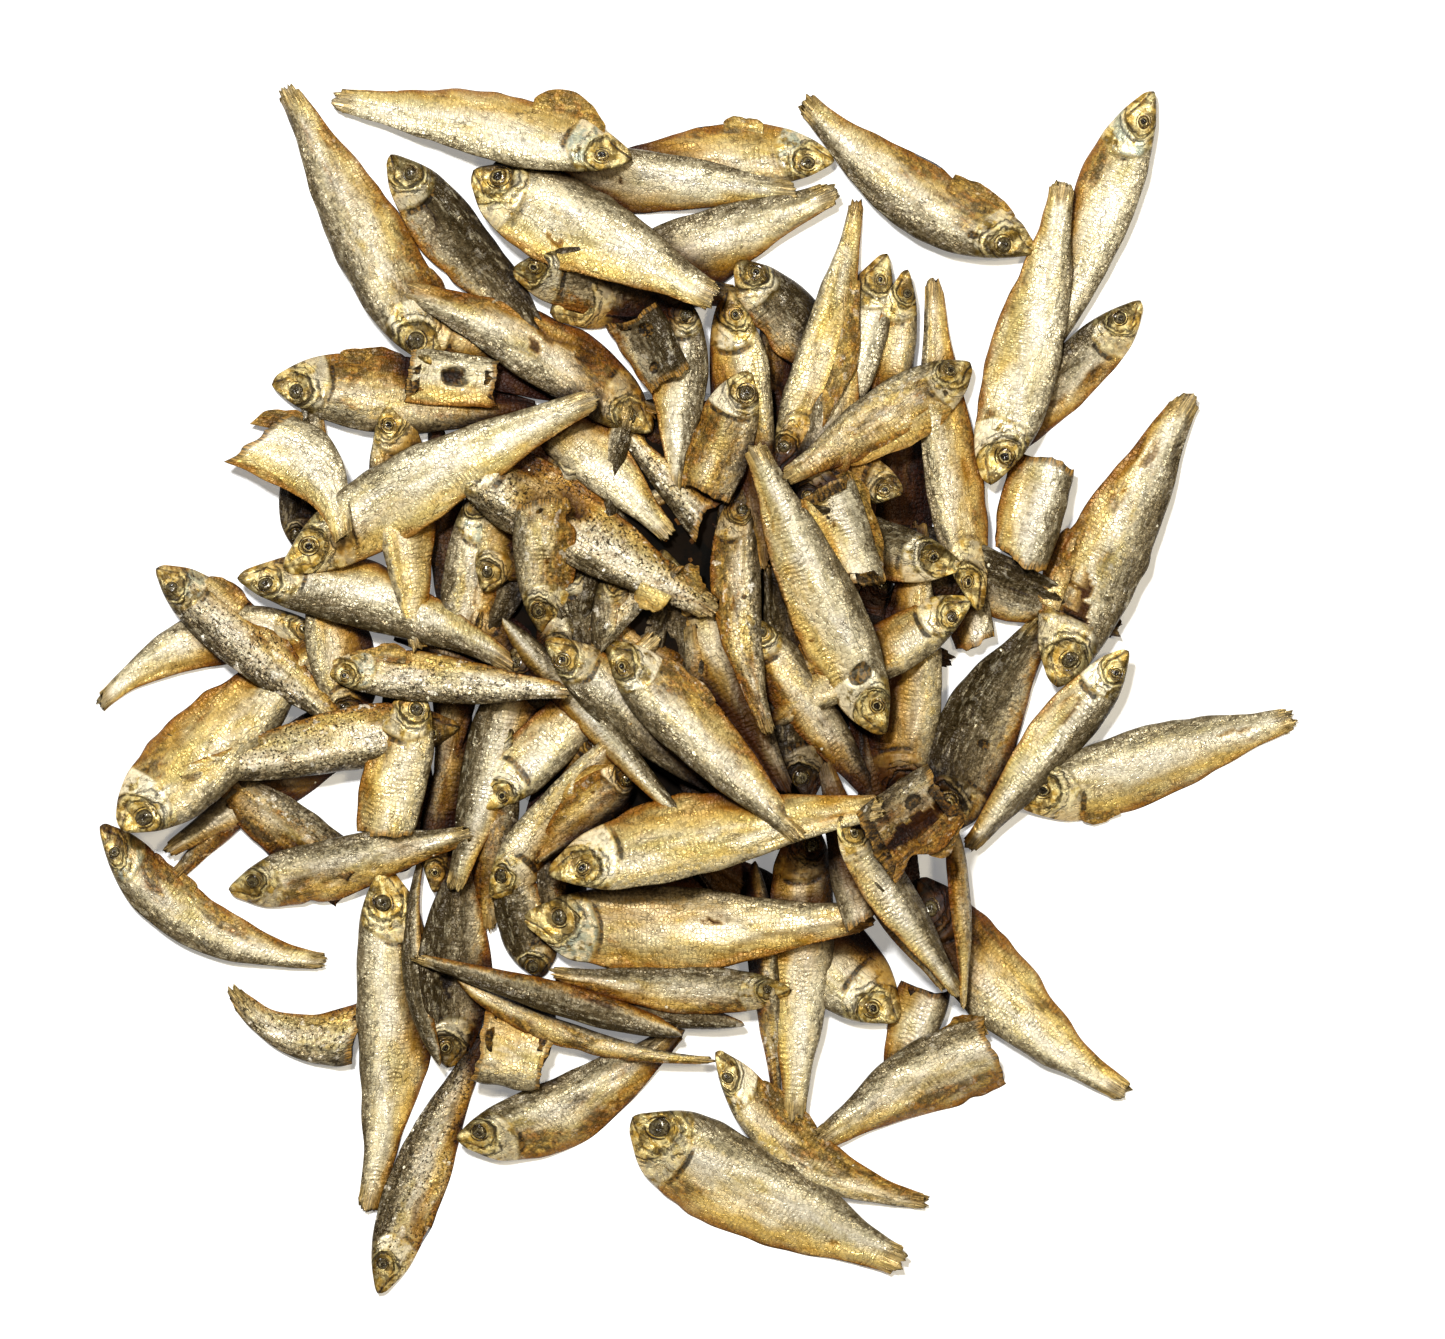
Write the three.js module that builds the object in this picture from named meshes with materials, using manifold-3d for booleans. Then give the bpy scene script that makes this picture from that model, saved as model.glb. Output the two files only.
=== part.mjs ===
// A loose heap of dried sprats, lying as it was tipped out: about a hundred small dried fish and broken
// pieces of fish, two to five deep in the middle and one deep at the rim, all caught on one another.
// Millimetres, +Z up. The origin is on the surface that the heap lies on, under the middle of its outline.

import * as THREE from 'three';
import Module from 'manifold-3d';

// Driving sizes
const HALF_FIELD = 200;      // half the side of the square in which the heap is laid
const CELL = 2;              // step of the height map that the fish are laid on
const PRESS = 1.3;           // how far a fish settles into what it rests on
const STEEPEST = 0.4;        // steepest lie of a fish, as rise over run
const CORE_HEIGHT = 12;      // packed bottom of the heap, under its middle
const CORE_CENTRE = [-8, 18];
const CORE_RADII = [64, 72];
const CORE_SIDES = 18;
const LEAST_HALF_THICKNESS = 0.45;
const RIDGE = 0.06;          // height of the thickest line above the midline, as a share of the back's height
const ARCH_STEP = 0.5;       // fish bow up or down by none, one or two such steps, in turn
const BALANCE_SHARE = 0.44;  // balance point of a fish along its length
const BALANCE_ACROSS = -0.04; // and across it, as a share of its depth

// A sprat from the snout to the end of its tail: share of its length, then the height of the back, the
// drop of the belly and half the thickness there, as shares of its greatest depth.
const SPRAT = [
  [0.00, 0.04, 0.10, 0.04],
  [0.10, 0.27, 0.36, 0.11],
  [0.23, 0.42, 0.50, 0.14],
  [0.43, 0.46, 0.54, 0.135],
  [0.67, 0.36, 0.38, 0.10],
  [0.87, 0.20, 0.21, 0.05],
  [1.00, 0.15, 0.15, 0.02],
];

// What is left of a fish: where it starts and ends along the whole sprat, and how thick it is beside one
// that lies on its side. A narrow one is a shrivelled fish seen along its back.
const KINDS = {
  whole: { start: 0, end: 1, plump: 1 },
  headless: { start: 0.23, end: 1, plump: 1 },
  front: { start: 0, end: 0.6, plump: 1 },
  rear: { start: 0.5, end: 1, plump: 1.1 },
  middle: { start: 0.28, end: 0.6, plump: 1.3 },
  narrow: { start: 0, end: 1, plump: 2.8 },
};

// Where each fish lies, from the lowest to the topmost: kind, snout or broken end x and y, tail x and y,
// depth of the body, side on which its back lies (1 left, -1 right, looking from snout to tail) and how
// far its middle bends to the left.
const FISH = [
  // Lowest, around the rim on the left
  ['whole', -181, -42, -112, -83, 17, -1, -10],
  ['whole', -110, 15, -182, -6, 18, -1, -10.5],
  ['whole', -112, -5, -159, -58, 13, -1, 0],
  ['whole', -96, -7, -161, -50, 16, -1, 0],
  ['headless', -104, -58, -162, -15, 19, -1, 0],
  ['whole', -173, -43, -114, 14, 29, -1, 0],
  ['whole', -104, -12, -116, 42, 19, 1, 0],
  ['whole', -90, -56, -92, 4, 20, 1, 0],
  ['rear', -101, -104, -142, -91, 21, 1, 8],
  ['whole', -95.5, -54, -100, -159, 23.5, -1, 5],
  ['whole', -73, -136, -5, -102, 22, 1, -6.5],
  ['whole', -97, -183, -64, -104, 17, 1, 2.5],
  ['whole', -76, -115, -72, -46, 22, 1, 0],
  ['narrow', -78, -114, -83, -49, 7, 1, 6],
  ['middle', -68, -105, -42, -111, 27, -1, 0],
  // Lowest, around the rim at the top
  ['whole', -80, 97, -125, 182, 24, 1, 0],
  ['whole', -93, 161, -42, 98, 19, 1, 0],
  ['whole', -129, 91.5, -47, 83, 23, -1, 0],
  ['whole', -121, 41, -116, 88, 16, 1, 0],
  ['whole', 41, 159, -40, 154, 20, 1, -3],
  ['whole', -62, 158, 30, 149, 20, 1, 0],
  ['whole', -45, 113, 42, 150, 24, 1, 0],
  ['whole', -56, 126, 12, 118, 20, 1, 0],
  ['whole', 12, 129, 60, 78, 20, 1, 0],
  ['whole', -4, 118, -7, 60, 17, 1, 0],
  // Lowest, around the rim on the right
  ['whole', 101, 131, 31, 178, 22.5, 1, 5.5],
  ['whole', 137.5, 180, 98, 87, 19, 1, 0],
  ['whole', 133.5, 117, 72, 54, 17, -1, 0],
  ['whole', 30, 20, 77, 8, 15, 1, 0],
  ['whole', 48, 46, 128, 17, 22, 1, 0],
  ['whole', 75, -43, 105, 20, 27, 1, 5],
  ['whole', 96, -34, 181, -9, 24, 1, 0],
  ['middle', 106, 69, 96.5, 37, 20, 1, 0],
  ['whole', 66, -58, 130, -123, 23, -1, -6.5],
  // Lowest, around the rim at the bottom
  ['headless', 69.5, -89, 56, -130, 16, 1, 0],
  ['whole', -20, -129.5, 62, -174, 30, 1, -2],
  ['whole', 60, -101, -6, -45, 25, 1, 0],
  ['narrow', 17, -52, 24, -127, 9, 1, 0],
  ['headless', 90, -108.5, 35.5, -138, 24, -1, -2.5],
  ['whole', -48, -88, -60, -46, 17, 1, 0],
  ['narrow', 14, -102, -60, -92, 8, 1, 0],
  // Second layer
  ['whole', -65, 65, -78, -35, 18, -1, 0],
  ['headless', -43, 81, -8, 45, 19, -1, 0],
  ['whole', -52, 15, -74, -62, 18, -1, 0],
  ['whole', -28, -12, -55, -50, 16, 1, 0],
  ['whole', -63, -63, -20, -10, 17, 1, 0],
  ['whole', -19, -24, -50, -52, 15, 1, 0],
  ['whole', 61, -38, 66, 50, 22, -1, 0],
  ['whole', 33, -34, 22, 40, 18, 1, 0],
  ['whole', 14, 22, 54, -35, 16, 1, 0],
  ['whole', 33, -38, 29, -131, 21, 1, 0],
  ['whole', 5, -110, 70, -156, 16.5, -1, -10],
  ['whole', 39, 68, 58, 118, 17, 1, 0],
  ['whole', 57, 131, 30, 50, 17, 1, 0],
  ['whole', 63, 126, 52, 50, 13, 1, 0],
  ['whole', 61, 58, 10, 75, 18, 1, 0],
  ['whole', 33, 50, 45, 120, 18, 1, 0],
  ['rear', 3, 49, -26, 81, 14, 1, 0],
  ['whole', 9, 120, 20, 35, 18, 1, 0],
  ['front', 16, 95, 1, 57, 20, 1, 0],
  ['middle', -21, 115, -8, 92, 17, 1, 0],
  ['whole', 84, 23, 71, 124, 17, 1, 3],
  ['front', 79, 37, 29, 47, 20, -1, 0],
  ['middle', 38, 62, 50, 30, 16, 1, 0],
  ['whole', 82, 26, 17, -13, 17, 1, 0],
  ['whole', -8, 38, 27, -32, 16, 1, 0],
  ['rear', -10, 40, -44, -3, 15, 1, 0],
  // Third layer, and the fish that lie across the rim
  ['whole', -65, 29, -45, 85, 18, 1, 0],
  ['whole', -79, 73, 6, 22, 24, -1, 0],
  ['front', -47, 16, -47, 57, 18, 1, 0],
  ['whole', -68, 156, 6, 116, 27, 1, 0],
  ['whole', -20, 158.5, -111, 178, 21.5, 1, -1],
  ['whole', -14, 77, -91, 121, 22, 1, -4.5],
  ['middle', -90, 95, -58, 92, 16, 1, 0],
  ['whole', 23, 64, 48, 148, 15, 1, -3],
  ['whole', 82, 98, 25, 62, 19, -1, 0],
  ['whole', 88, 61, 110, 153, 23, -1, -2],
  ['whole', 108, 0, 149, 88.5, 27, -1, 3],
  ['whole', 129.5, 11, 81, -49, 17, 1, 0],
  ['whole', -164, 36, -106, -12, 18, -1, 0],
  ['whole', -139, 33, -55, 6, 20, -1, 6],
  ['whole', -72, -12, -156, -27, 19, 1, -1.5],
  ['whole', -142, -61, -68, -44, 18, 1, 0],
  ['front', -84, 1, -94, -46, 20, 1, 0],
  ['whole', -93, 87, -84, 10, 18, -1, 0],
  ['whole', -125, 36, -30, 87, 23, 1, 3],
  ['headless', -136, 76, -106, 43, 23, 1, 8],
  ['whole', -65, -37, -12, 16, 18, -1, 0],
  ['narrow', -59, 21, 0, -45, 10, 1, 0],
  ['whole', -114, 5, -37, -1, 15, -1, 0],
  ['narrow', -73, -88, 5, -112.5, 8, 1, -6],
  ['narrow', -5, -105, -87, -81, 10, 1, 0],
  ['whole', 28, -91, -45, -86, 15, -1, 2],
  ['whole', -53, -69, 53, -68, 26, 1, -4],
  ['headless', 50, -70, 38, -22, 16, 1, 0],
  // Topmost
  ['narrow', 48, -54, 74, -91, 8, 1, 0],
  ['whole', 42, -38, 79, -93, 14, 1, 0],
  ['narrow', 76, -38, 79.5, -97, 6.5, 1, 1.5],
  ['middle', 52, -47, 74, -30, 23, 1, 0],
  ['whole', -46, 14, 14, -36, 18.5, -1, 0],
  ['whole', -45, -56, 56, -35, 24, -1, 2],
  ['whole', 13.5, 61, 21, -14, 15, 1, -5],
  ['whole', -28, 13, 31, -45, 20, -1, 0],
  ['whole', 56, -14, 16, 73, 22.5, -1, 0],
];

// Fish under all the others, which show only through their gaps
const LOWEST = [
  ['whole', 62, 30, 61, 110, 17, 1, 0],
  ['whole', -92, 112, -12, 82, 18, 1, 0],
  ['whole', -70, 8, -80, 82, 15, 1, 0],
  ['whole', -60, -5, -64, -74, 18, 1, 0],
  ['whole', -80, -62, -70, 0, 14, 1, 0],
  ['whole', 28, 60, 20, 118, 14, 1, 0],
  ['middle', 76, 50, 84, 12, 14, 1, 0],
  ['whole', 56, 38, 48, -30, 14, 1, 0],
  ['whole', -40, -82, -44, -18, 14, 1, 0],
  ['whole', 62, -78, 50, -5, 16, 1, 0],
  ['whole', 25, -62, -38, -58, 13, 1, 0],
];

const wasm = await Module();
wasm.setup();

function between(low, high, share) {
  return low + (high - low) * share;
}

// Back, belly and half thickness, in shares of the depth, at a share of the whole sprat's length.
function sectionAt(along) {
  let row = 1;
  while (row < SPRAT.length - 1 && along > SPRAT[row][0]) {
    row += 1;
  }
  const before = SPRAT[row - 1];
  const after = SPRAT[row];
  const share = (along - before[0]) / (after[0] - before[0]);
  return [1, 2, 3].map((column) => between(before[column], after[column], share));
}

// A fish laid out in plan, before its height is known.
function planOf(row, index) {
  const [kind, fromX, fromY, toX, toY, depth, back, bend] = row;
  const { start, end, plump } = KINDS[kind];
  const length = Math.sqrt((toX - fromX) * (toX - fromX) + (toY - fromY) * (toY - fromY));
  const along = [(toX - fromX) / length, (toY - fromY) / length];
  const arch = ((index * 7) % 5 - 2) * ARCH_STEP;
  return { fromX, fromY, length, along, depth, back, bend, start, end, plump, arch };
}

// Edges of the body and its half thickness at a share of what is left of the fish.
function bodyAt(fish, share) {
  const [up, down, half] = sectionAt(between(fish.start, fish.end, share));
  const thick = Math.max(half * fish.depth * fish.plump, LEAST_HALF_THICKNESS);
  return { up: up * fish.depth, down: -down * fish.depth, ridge: RIDGE * fish.depth * up, thick };
}

// Half thickness of the body at a place across it, 0 at both edges and greatest at the ridge.
function halfAt(body, across) {
  const reach = across > body.ridge ? body.up - body.ridge : body.ridge - body.down;
  return body.thick * (1 - Math.abs(across - body.ridge) / reach);
}

function bendAt(share) {
  return 4 * share * (1 - share);
}

// Plan point of a fish at a share of its length and a place across it, towards its back.
function placeOf(fish, share, across) {
  const run = share * fish.length;
  const side = fish.bend * bendAt(share) + across * fish.back;
  const x = fish.fromX + fish.along[0] * run - fish.along[1] * side;
  const y = fish.fromY + fish.along[1] * run + fish.along[0] * side;
  return { x, y, run, side };
}

// Height map of everything laid so far
const CELLS = 2 * HALF_FIELD / CELL;
const heights = new Float64Array(CELLS * CELLS);

// Packed core: share of its radius and height, from the middle to the rim.
const CORE = [[0, 1], [0.55, 0.85], [0.9, 0.35], [1, 0]];

function coreHeight(x, y) {
  const right = (x - CORE_CENTRE[0]) / CORE_RADII[0];
  const up = (y - CORE_CENTRE[1]) / CORE_RADII[1];
  const radius = Math.sqrt(right * right + up * up);
  for (let ring = 1; ring < CORE.length; ring += 1) {
    if (radius < CORE[ring][0]) {
      const [inner, high] = CORE[ring - 1];
      const [outer, low] = CORE[ring];
      return CORE_HEIGHT * between(high, low, (radius - inner) / (outer - inner));
    }
  }
  return 0;
}

function cellOf(value) {
  return Math.floor((value + HALF_FIELD) / CELL);
}

function middleOf(cell) {
  return (cell + 0.5) * CELL - HALF_FIELD;
}

function fillCore() {
  for (let row = 0; row < CELLS; row += 1) {
    for (let column = 0; column < CELLS; column += 1) {
      heights[row * CELLS + column] = coreHeight(middleOf(column), middleOf(row));
    }
  }
}

// Shares of a fish's length at which its sections change, from its first end to its last.
function stationsOf(fish) {
  const inner = SPRAT.map((row) => row[0]).filter((value) => value > fish.start && value < fish.end);
  return [fish.start, ...inner, fish.end].map((value) => (value - fish.start) / (fish.end - fish.start));
}

// Places under a fish, with the height that its middle plane needs at each.
const SHARES_ACROSS = [-1, -0.5, 0, 0.5, 1];

function needsOf(fish) {
  const needs = [];
  const stations = stationsOf(fish);
  const thirds = stations.slice(1).flatMap((share, before) => [1, 2].map(
    (third) => between(stations[before], share, third / 3)));
  for (const share of [...stations, ...thirds]) {
    const body = bodyAt(fish, share);
    for (const part of SHARES_ACROSS) {
      const reach = part > 0 ? body.up - body.ridge : body.ridge - body.down;
      const across = body.ridge + part * reach;
      const place = placeOf(fish, share, across);
      const under = heights[cellOf(place.y) * CELLS + cellOf(place.x)];
      const settled = under > 0 ? under - PRESS : 0;
      const height = Math.max(settled, 0) + halfAt(body, across) - fish.arch * bendAt(share);
      needs.push({ run: place.run, side: place.side, height });
    }
  }
  return needs;
}

// Least height of the middle plane over the balance point for one lie of the fish.
function heightFor(needs, balance, rise, tilt) {
  let highest = -Infinity;
  for (const need of needs) {
    const height = need.height - rise * (need.run - balance.run) - tilt * (need.side - balance.side);
    highest = Math.max(highest, height);
  }
  return highest;
}

// Steps of rise and tilt in the search for a fish's lie, coarse to fine, and how many of them each way
const SEARCH_STEPS = [0.1, 0.02, 0.005];
const SEARCH_REACH = 5;
const LEAST_GAIN = 0.0001;

// The fish comes to rest in the lie that brings its balance point lowest.
function settle(fish) {
  const balance = placeOf(fish, BALANCE_SHARE, BALANCE_ACROSS * fish.depth);
  const needs = needsOf(fish);
  let best = { rise: 0, tilt: 0, height: heightFor(needs, balance, 0, 0) };
  for (const step of SEARCH_STEPS) {
    const { rise, tilt } = best;
    for (let i = -SEARCH_REACH; i <= SEARCH_REACH; i += 1) {
      for (let j = -SEARCH_REACH; j <= SEARCH_REACH; j += 1) {
        const tryRise = rise + i * step;
        const tryTilt = tilt + j * step;
        const height = heightFor(needs, balance, tryRise, tryTilt);
        const allowed = Math.abs(tryRise) <= STEEPEST && Math.abs(tryTilt) <= STEEPEST;
        if (allowed && height < best.height - LEAST_GAIN) {
          best = { rise: tryRise, tilt: tryTilt, height };
        }
      }
    }
  }
  return { ...fish, ...best, balance };
}

function middleHeight(fish, share, run, side) {
  const lie = fish.rise * (run - fish.balance.run) + fish.tilt * (side - fish.balance.side);
  return fish.height + lie + fish.arch * bendAt(share);
}

// Raises the height map to the top of a fish. No part of it is further from its line than the reach.
const COVER_REACH = 0.6;

function cover(fish) {
  const reach = COVER_REACH * fish.depth + Math.abs(fish.bend);
  const toX = fish.fromX + fish.along[0] * fish.length;
  const toY = fish.fromY + fish.along[1] * fish.length;
  const firstRow = cellOf(Math.min(fish.fromY, toY) - reach);
  const lastRow = cellOf(Math.max(fish.fromY, toY) + reach);
  const firstColumn = cellOf(Math.min(fish.fromX, toX) - reach);
  const lastColumn = cellOf(Math.max(fish.fromX, toX) + reach);
  for (let row = firstRow; row <= lastRow; row += 1) {
    for (let column = firstColumn; column <= lastColumn; column += 1) {
      const x = middleOf(column) - fish.fromX;
      const y = middleOf(row) - fish.fromY;
      const run = x * fish.along[0] + y * fish.along[1];
      const share = run / fish.length;
      if (share > 0 && share < 1) {
        const side = y * fish.along[0] - x * fish.along[1];
        const across = (side - fish.bend * bendAt(share)) * fish.back;
        const body = bodyAt(fish, share);
        if (across > body.down && across < body.up) {
          const top = middleHeight(fish, share, run, side) + halfAt(body, across);
          const cell = row * CELLS + column;
          heights[cell] = Math.max(heights[cell], top);
        }
      }
    }
  }
}

// Four-sided body: a ring of back, upper side, belly and lower side at each station, closed at both ends.
function fishMesh(fish) {
  const stations = stationsOf(fish);
  const points = [];
  for (const share of stations) {
    const body = bodyAt(fish, share);
    const ring = [[body.up, 0], [body.ridge, body.thick], [body.down, 0], [body.ridge, -body.thick]];
    for (const [across, out] of ring) {
      const place = placeOf(fish, share, across);
      points.push(place.x, place.y, middleHeight(fish, share, place.run, place.side) + out);
    }
  }
  const faces = [];
  for (let ring = 0; ring < stations.length - 1; ring += 1) {
    for (let corner = 0; corner < 4; corner += 1) {
      const near = ring * 4 + corner;
      const beside = ring * 4 + (corner + 1) % 4;
      faces.push([near, beside, near + 4], [beside, beside + 4, near + 4]);
    }
  }
  const last = (stations.length - 1) * 4;
  faces.push([0, 2, 1], [0, 3, 2], [last, last + 1, last + 2], [last, last + 2, last + 3]);
  const order = fish.back > 0 ? ([a, b, c]) => [a, b, c] : ([a, b, c]) => [a, c, b];
  return { points, faces: faces.flatMap(order) };
}

// Low packed mound under the middle, with a flat bottom that the heap rests on.
function coreMesh() {
  const points = [CORE_CENTRE[0], CORE_CENTRE[1], 0, CORE_CENTRE[0], CORE_CENTRE[1], CORE_HEIGHT];
  const rings = CORE.slice(1).reverse();
  for (const [share, high] of rings) {
    for (let side = 0; side < CORE_SIDES; side += 1) {
      const angle = 2 * Math.PI * side / CORE_SIDES;
      const x = CORE_CENTRE[0] + CORE_RADII[0] * share * Math.cos(angle);
      const y = CORE_CENTRE[1] + CORE_RADII[1] * share * Math.sin(angle);
      points.push(x, y, CORE_HEIGHT * high);
    }
  }
  const faces = [];
  const top = 2 + (rings.length - 1) * CORE_SIDES;
  for (let side = 0; side < CORE_SIDES; side += 1) {
    const next = (side + 1) % CORE_SIDES;
    faces.push(0, 2 + next, 2 + side);
    faces.push(1, top + side, top + next);
    for (let ring = 0; ring < rings.length - 1; ring += 1) {
      const low = 2 + ring * CORE_SIDES;
      const high = low + CORE_SIDES;
      faces.push(low + side, low + next, high + side, low + next, high + next, high + side);
    }
  }
  return { points, faces };
}

function solidOf(mesh) {
  const vertProperties = new Float32Array(mesh.points);
  const triVerts = new Uint32Array(mesh.faces);
  return new wasm.Manifold(new wasm.Mesh({ numProp: 3, vertProperties, triVerts }));
}

function geometryOf(solid) {
  const mesh = solid.getMesh();
  const geometry = new THREE.BufferGeometry();
  geometry.setAttribute('position', new THREE.BufferAttribute(mesh.vertProperties, 3));
  geometry.setIndex(new THREE.BufferAttribute(mesh.triVerts, 1));
  return geometry;
}

fillCore();
let heap = solidOf(coreMesh());

function lay(row, index) {
  const fish = settle(planOf(row, index));
  cover(fish);
  heap = heap.add(solidOf(fishMesh(fish)));
}

LOWEST.forEach((row, index) => lay(row, FISH.length + index));
FISH.forEach(lay);

const driedFish = new THREE.MeshStandardMaterial({ color: 0xa58a52, roughness: 0.45, metalness: 0.2 });
const sprats = new THREE.Mesh(geometryOf(heap), driedFish);
sprats.name = 'sprats';

const group = new THREE.Group();
group.name = 'heap_of_dried_sprats';
group.add(sprats);

export default group;
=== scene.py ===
"""A loose heap of dried sprats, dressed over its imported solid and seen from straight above.

The solid holds every fish as a plain four-sided body in its place. Here each of them becomes a dried fish
with a head, gill cover, eye, tail and skin, laid on the ones below it by the same rule as in the solid.
The fish are worked out in millimetres, and a mesh gets its points in metres.
"""

import math

import bpy
import numpy as np
from mathutils import Matrix, Vector


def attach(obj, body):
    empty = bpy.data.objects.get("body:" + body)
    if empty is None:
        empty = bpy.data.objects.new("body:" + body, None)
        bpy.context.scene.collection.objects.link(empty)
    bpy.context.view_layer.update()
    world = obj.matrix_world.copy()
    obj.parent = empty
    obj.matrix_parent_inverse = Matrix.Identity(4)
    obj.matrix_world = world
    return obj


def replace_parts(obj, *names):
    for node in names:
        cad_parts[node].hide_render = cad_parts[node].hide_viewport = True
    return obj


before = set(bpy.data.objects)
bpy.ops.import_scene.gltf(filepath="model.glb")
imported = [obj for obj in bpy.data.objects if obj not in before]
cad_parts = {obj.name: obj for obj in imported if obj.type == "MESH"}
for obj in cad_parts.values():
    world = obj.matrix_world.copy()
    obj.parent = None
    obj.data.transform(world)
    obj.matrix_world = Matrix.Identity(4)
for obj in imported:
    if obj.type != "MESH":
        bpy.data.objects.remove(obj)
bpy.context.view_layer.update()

MM = 0.001

# Photograph: its width in pixels, its scale, and the point of the heap in its middle, in mm
PHOTO_WIDTH = 1445
MM_PER_PIXEL = 0.3
VIEW_CENTRE = (7.2, 5.4)
VIEW_HEIGHT = 15

# Camera: its lens and the width of its sensor in mm, and how far it sees in metres
LENS = 150
SENSOR = 36
FARTHEST_SEEN = 10

# The pile, as in the solid, in mm: its height map, how far fish press into each other, how steeply they
# may lie, the core, and how a fish finds its rest
HALF_FIELD = 200
CELL = 2
PRESS = 1.3
STEEPEST = 0.4
CORE_HEIGHT = 12
CORE_CENTRE = (-8, 18)
CORE_RADII = (64, 72)
CORE = ((0, 1), (0.55, 0.85), (0.9, 0.35), (1, 0))
LEAST_HALF_THICKNESS = 0.45
BALANCE_SHARE = 0.44
BALANCE_ACROSS = -0.04
RIDGE = 0.06
ARCH_STEP = 0.5
SEARCH_STEPS = (0.1, 0.02, 0.005)
SEARCH_REACH = 5
LEAST_GAIN = 0.0001

# A sprat from the snout to the end of its tail: share of its length, then the height of the back, the
# drop of the belly and half the thickness there, as shares of its greatest depth
SPRAT = np.array((
    (0.00, 0.04, 0.10, 0.04),
    (0.10, 0.27, 0.36, 0.11),
    (0.23, 0.42, 0.50, 0.14),
    (0.43, 0.46, 0.54, 0.135),
    (0.67, 0.36, 0.38, 0.10),
    (0.87, 0.20, 0.21, 0.05),
    (1.00, 0.15, 0.15, 0.02),
))

# What is left of a fish: where it starts and ends along the whole sprat, and how thick it is beside one
# that lies on its side. A narrow one is a shrivelled fish seen along its back.
KINDS = {
    "whole": (0, 1, 1),
    "headless": (0.23, 1, 1),
    "front": (0, 0.6, 1),
    "rear": (0.5, 1, 1.1),
    "middle": (0.28, 0.6, 1.3),
    "narrow": (0, 1, 2.8),
}

# Skins: share of the flank that is dark, gold, brown, speckles, loose white scales and how crumpled it is
SKINS = {
    "silver": (0.26, 0.18, 0.06, 0.12, 0.10, 0.8),
    "cream": (0.23, 0.40, 0.08, 0.10, 0.05, 0.7),
    "gold": (0.16, 0.80, 0.22, 0.16, 0.05, 1.1),
    "grey": (0.52, 0.15, 0.06, 0.16, 0.20, 1.0),
    "patchy": (0.34, 0.50, 0.42, 0.30, 0.15, 1.0),
    "speckled": (0.34, 0.45, 0.22, 0.85, 0.55, 1.0),
    "bronze": (0.20, 0.85, 0.62, 0.35, 0.05, 1.2),
    "brown": (0.28, 0.75, 0.80, 0.60, 0.10, 1.5),
    "dark": (0.78, 0.45, 0.45, 0.30, 0.10, 1.3),
}

# Gill covers: how pale and how blue they are, and how wide they gape in mm
GILLS = {"pale": (0.95, 0.05, 1.0), "blue": (0.75, 1.0, 0.9), "gold": (0.45, 0.1, 0.9),
         "brown": (0.45, 0.0, 1.2)}

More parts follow.
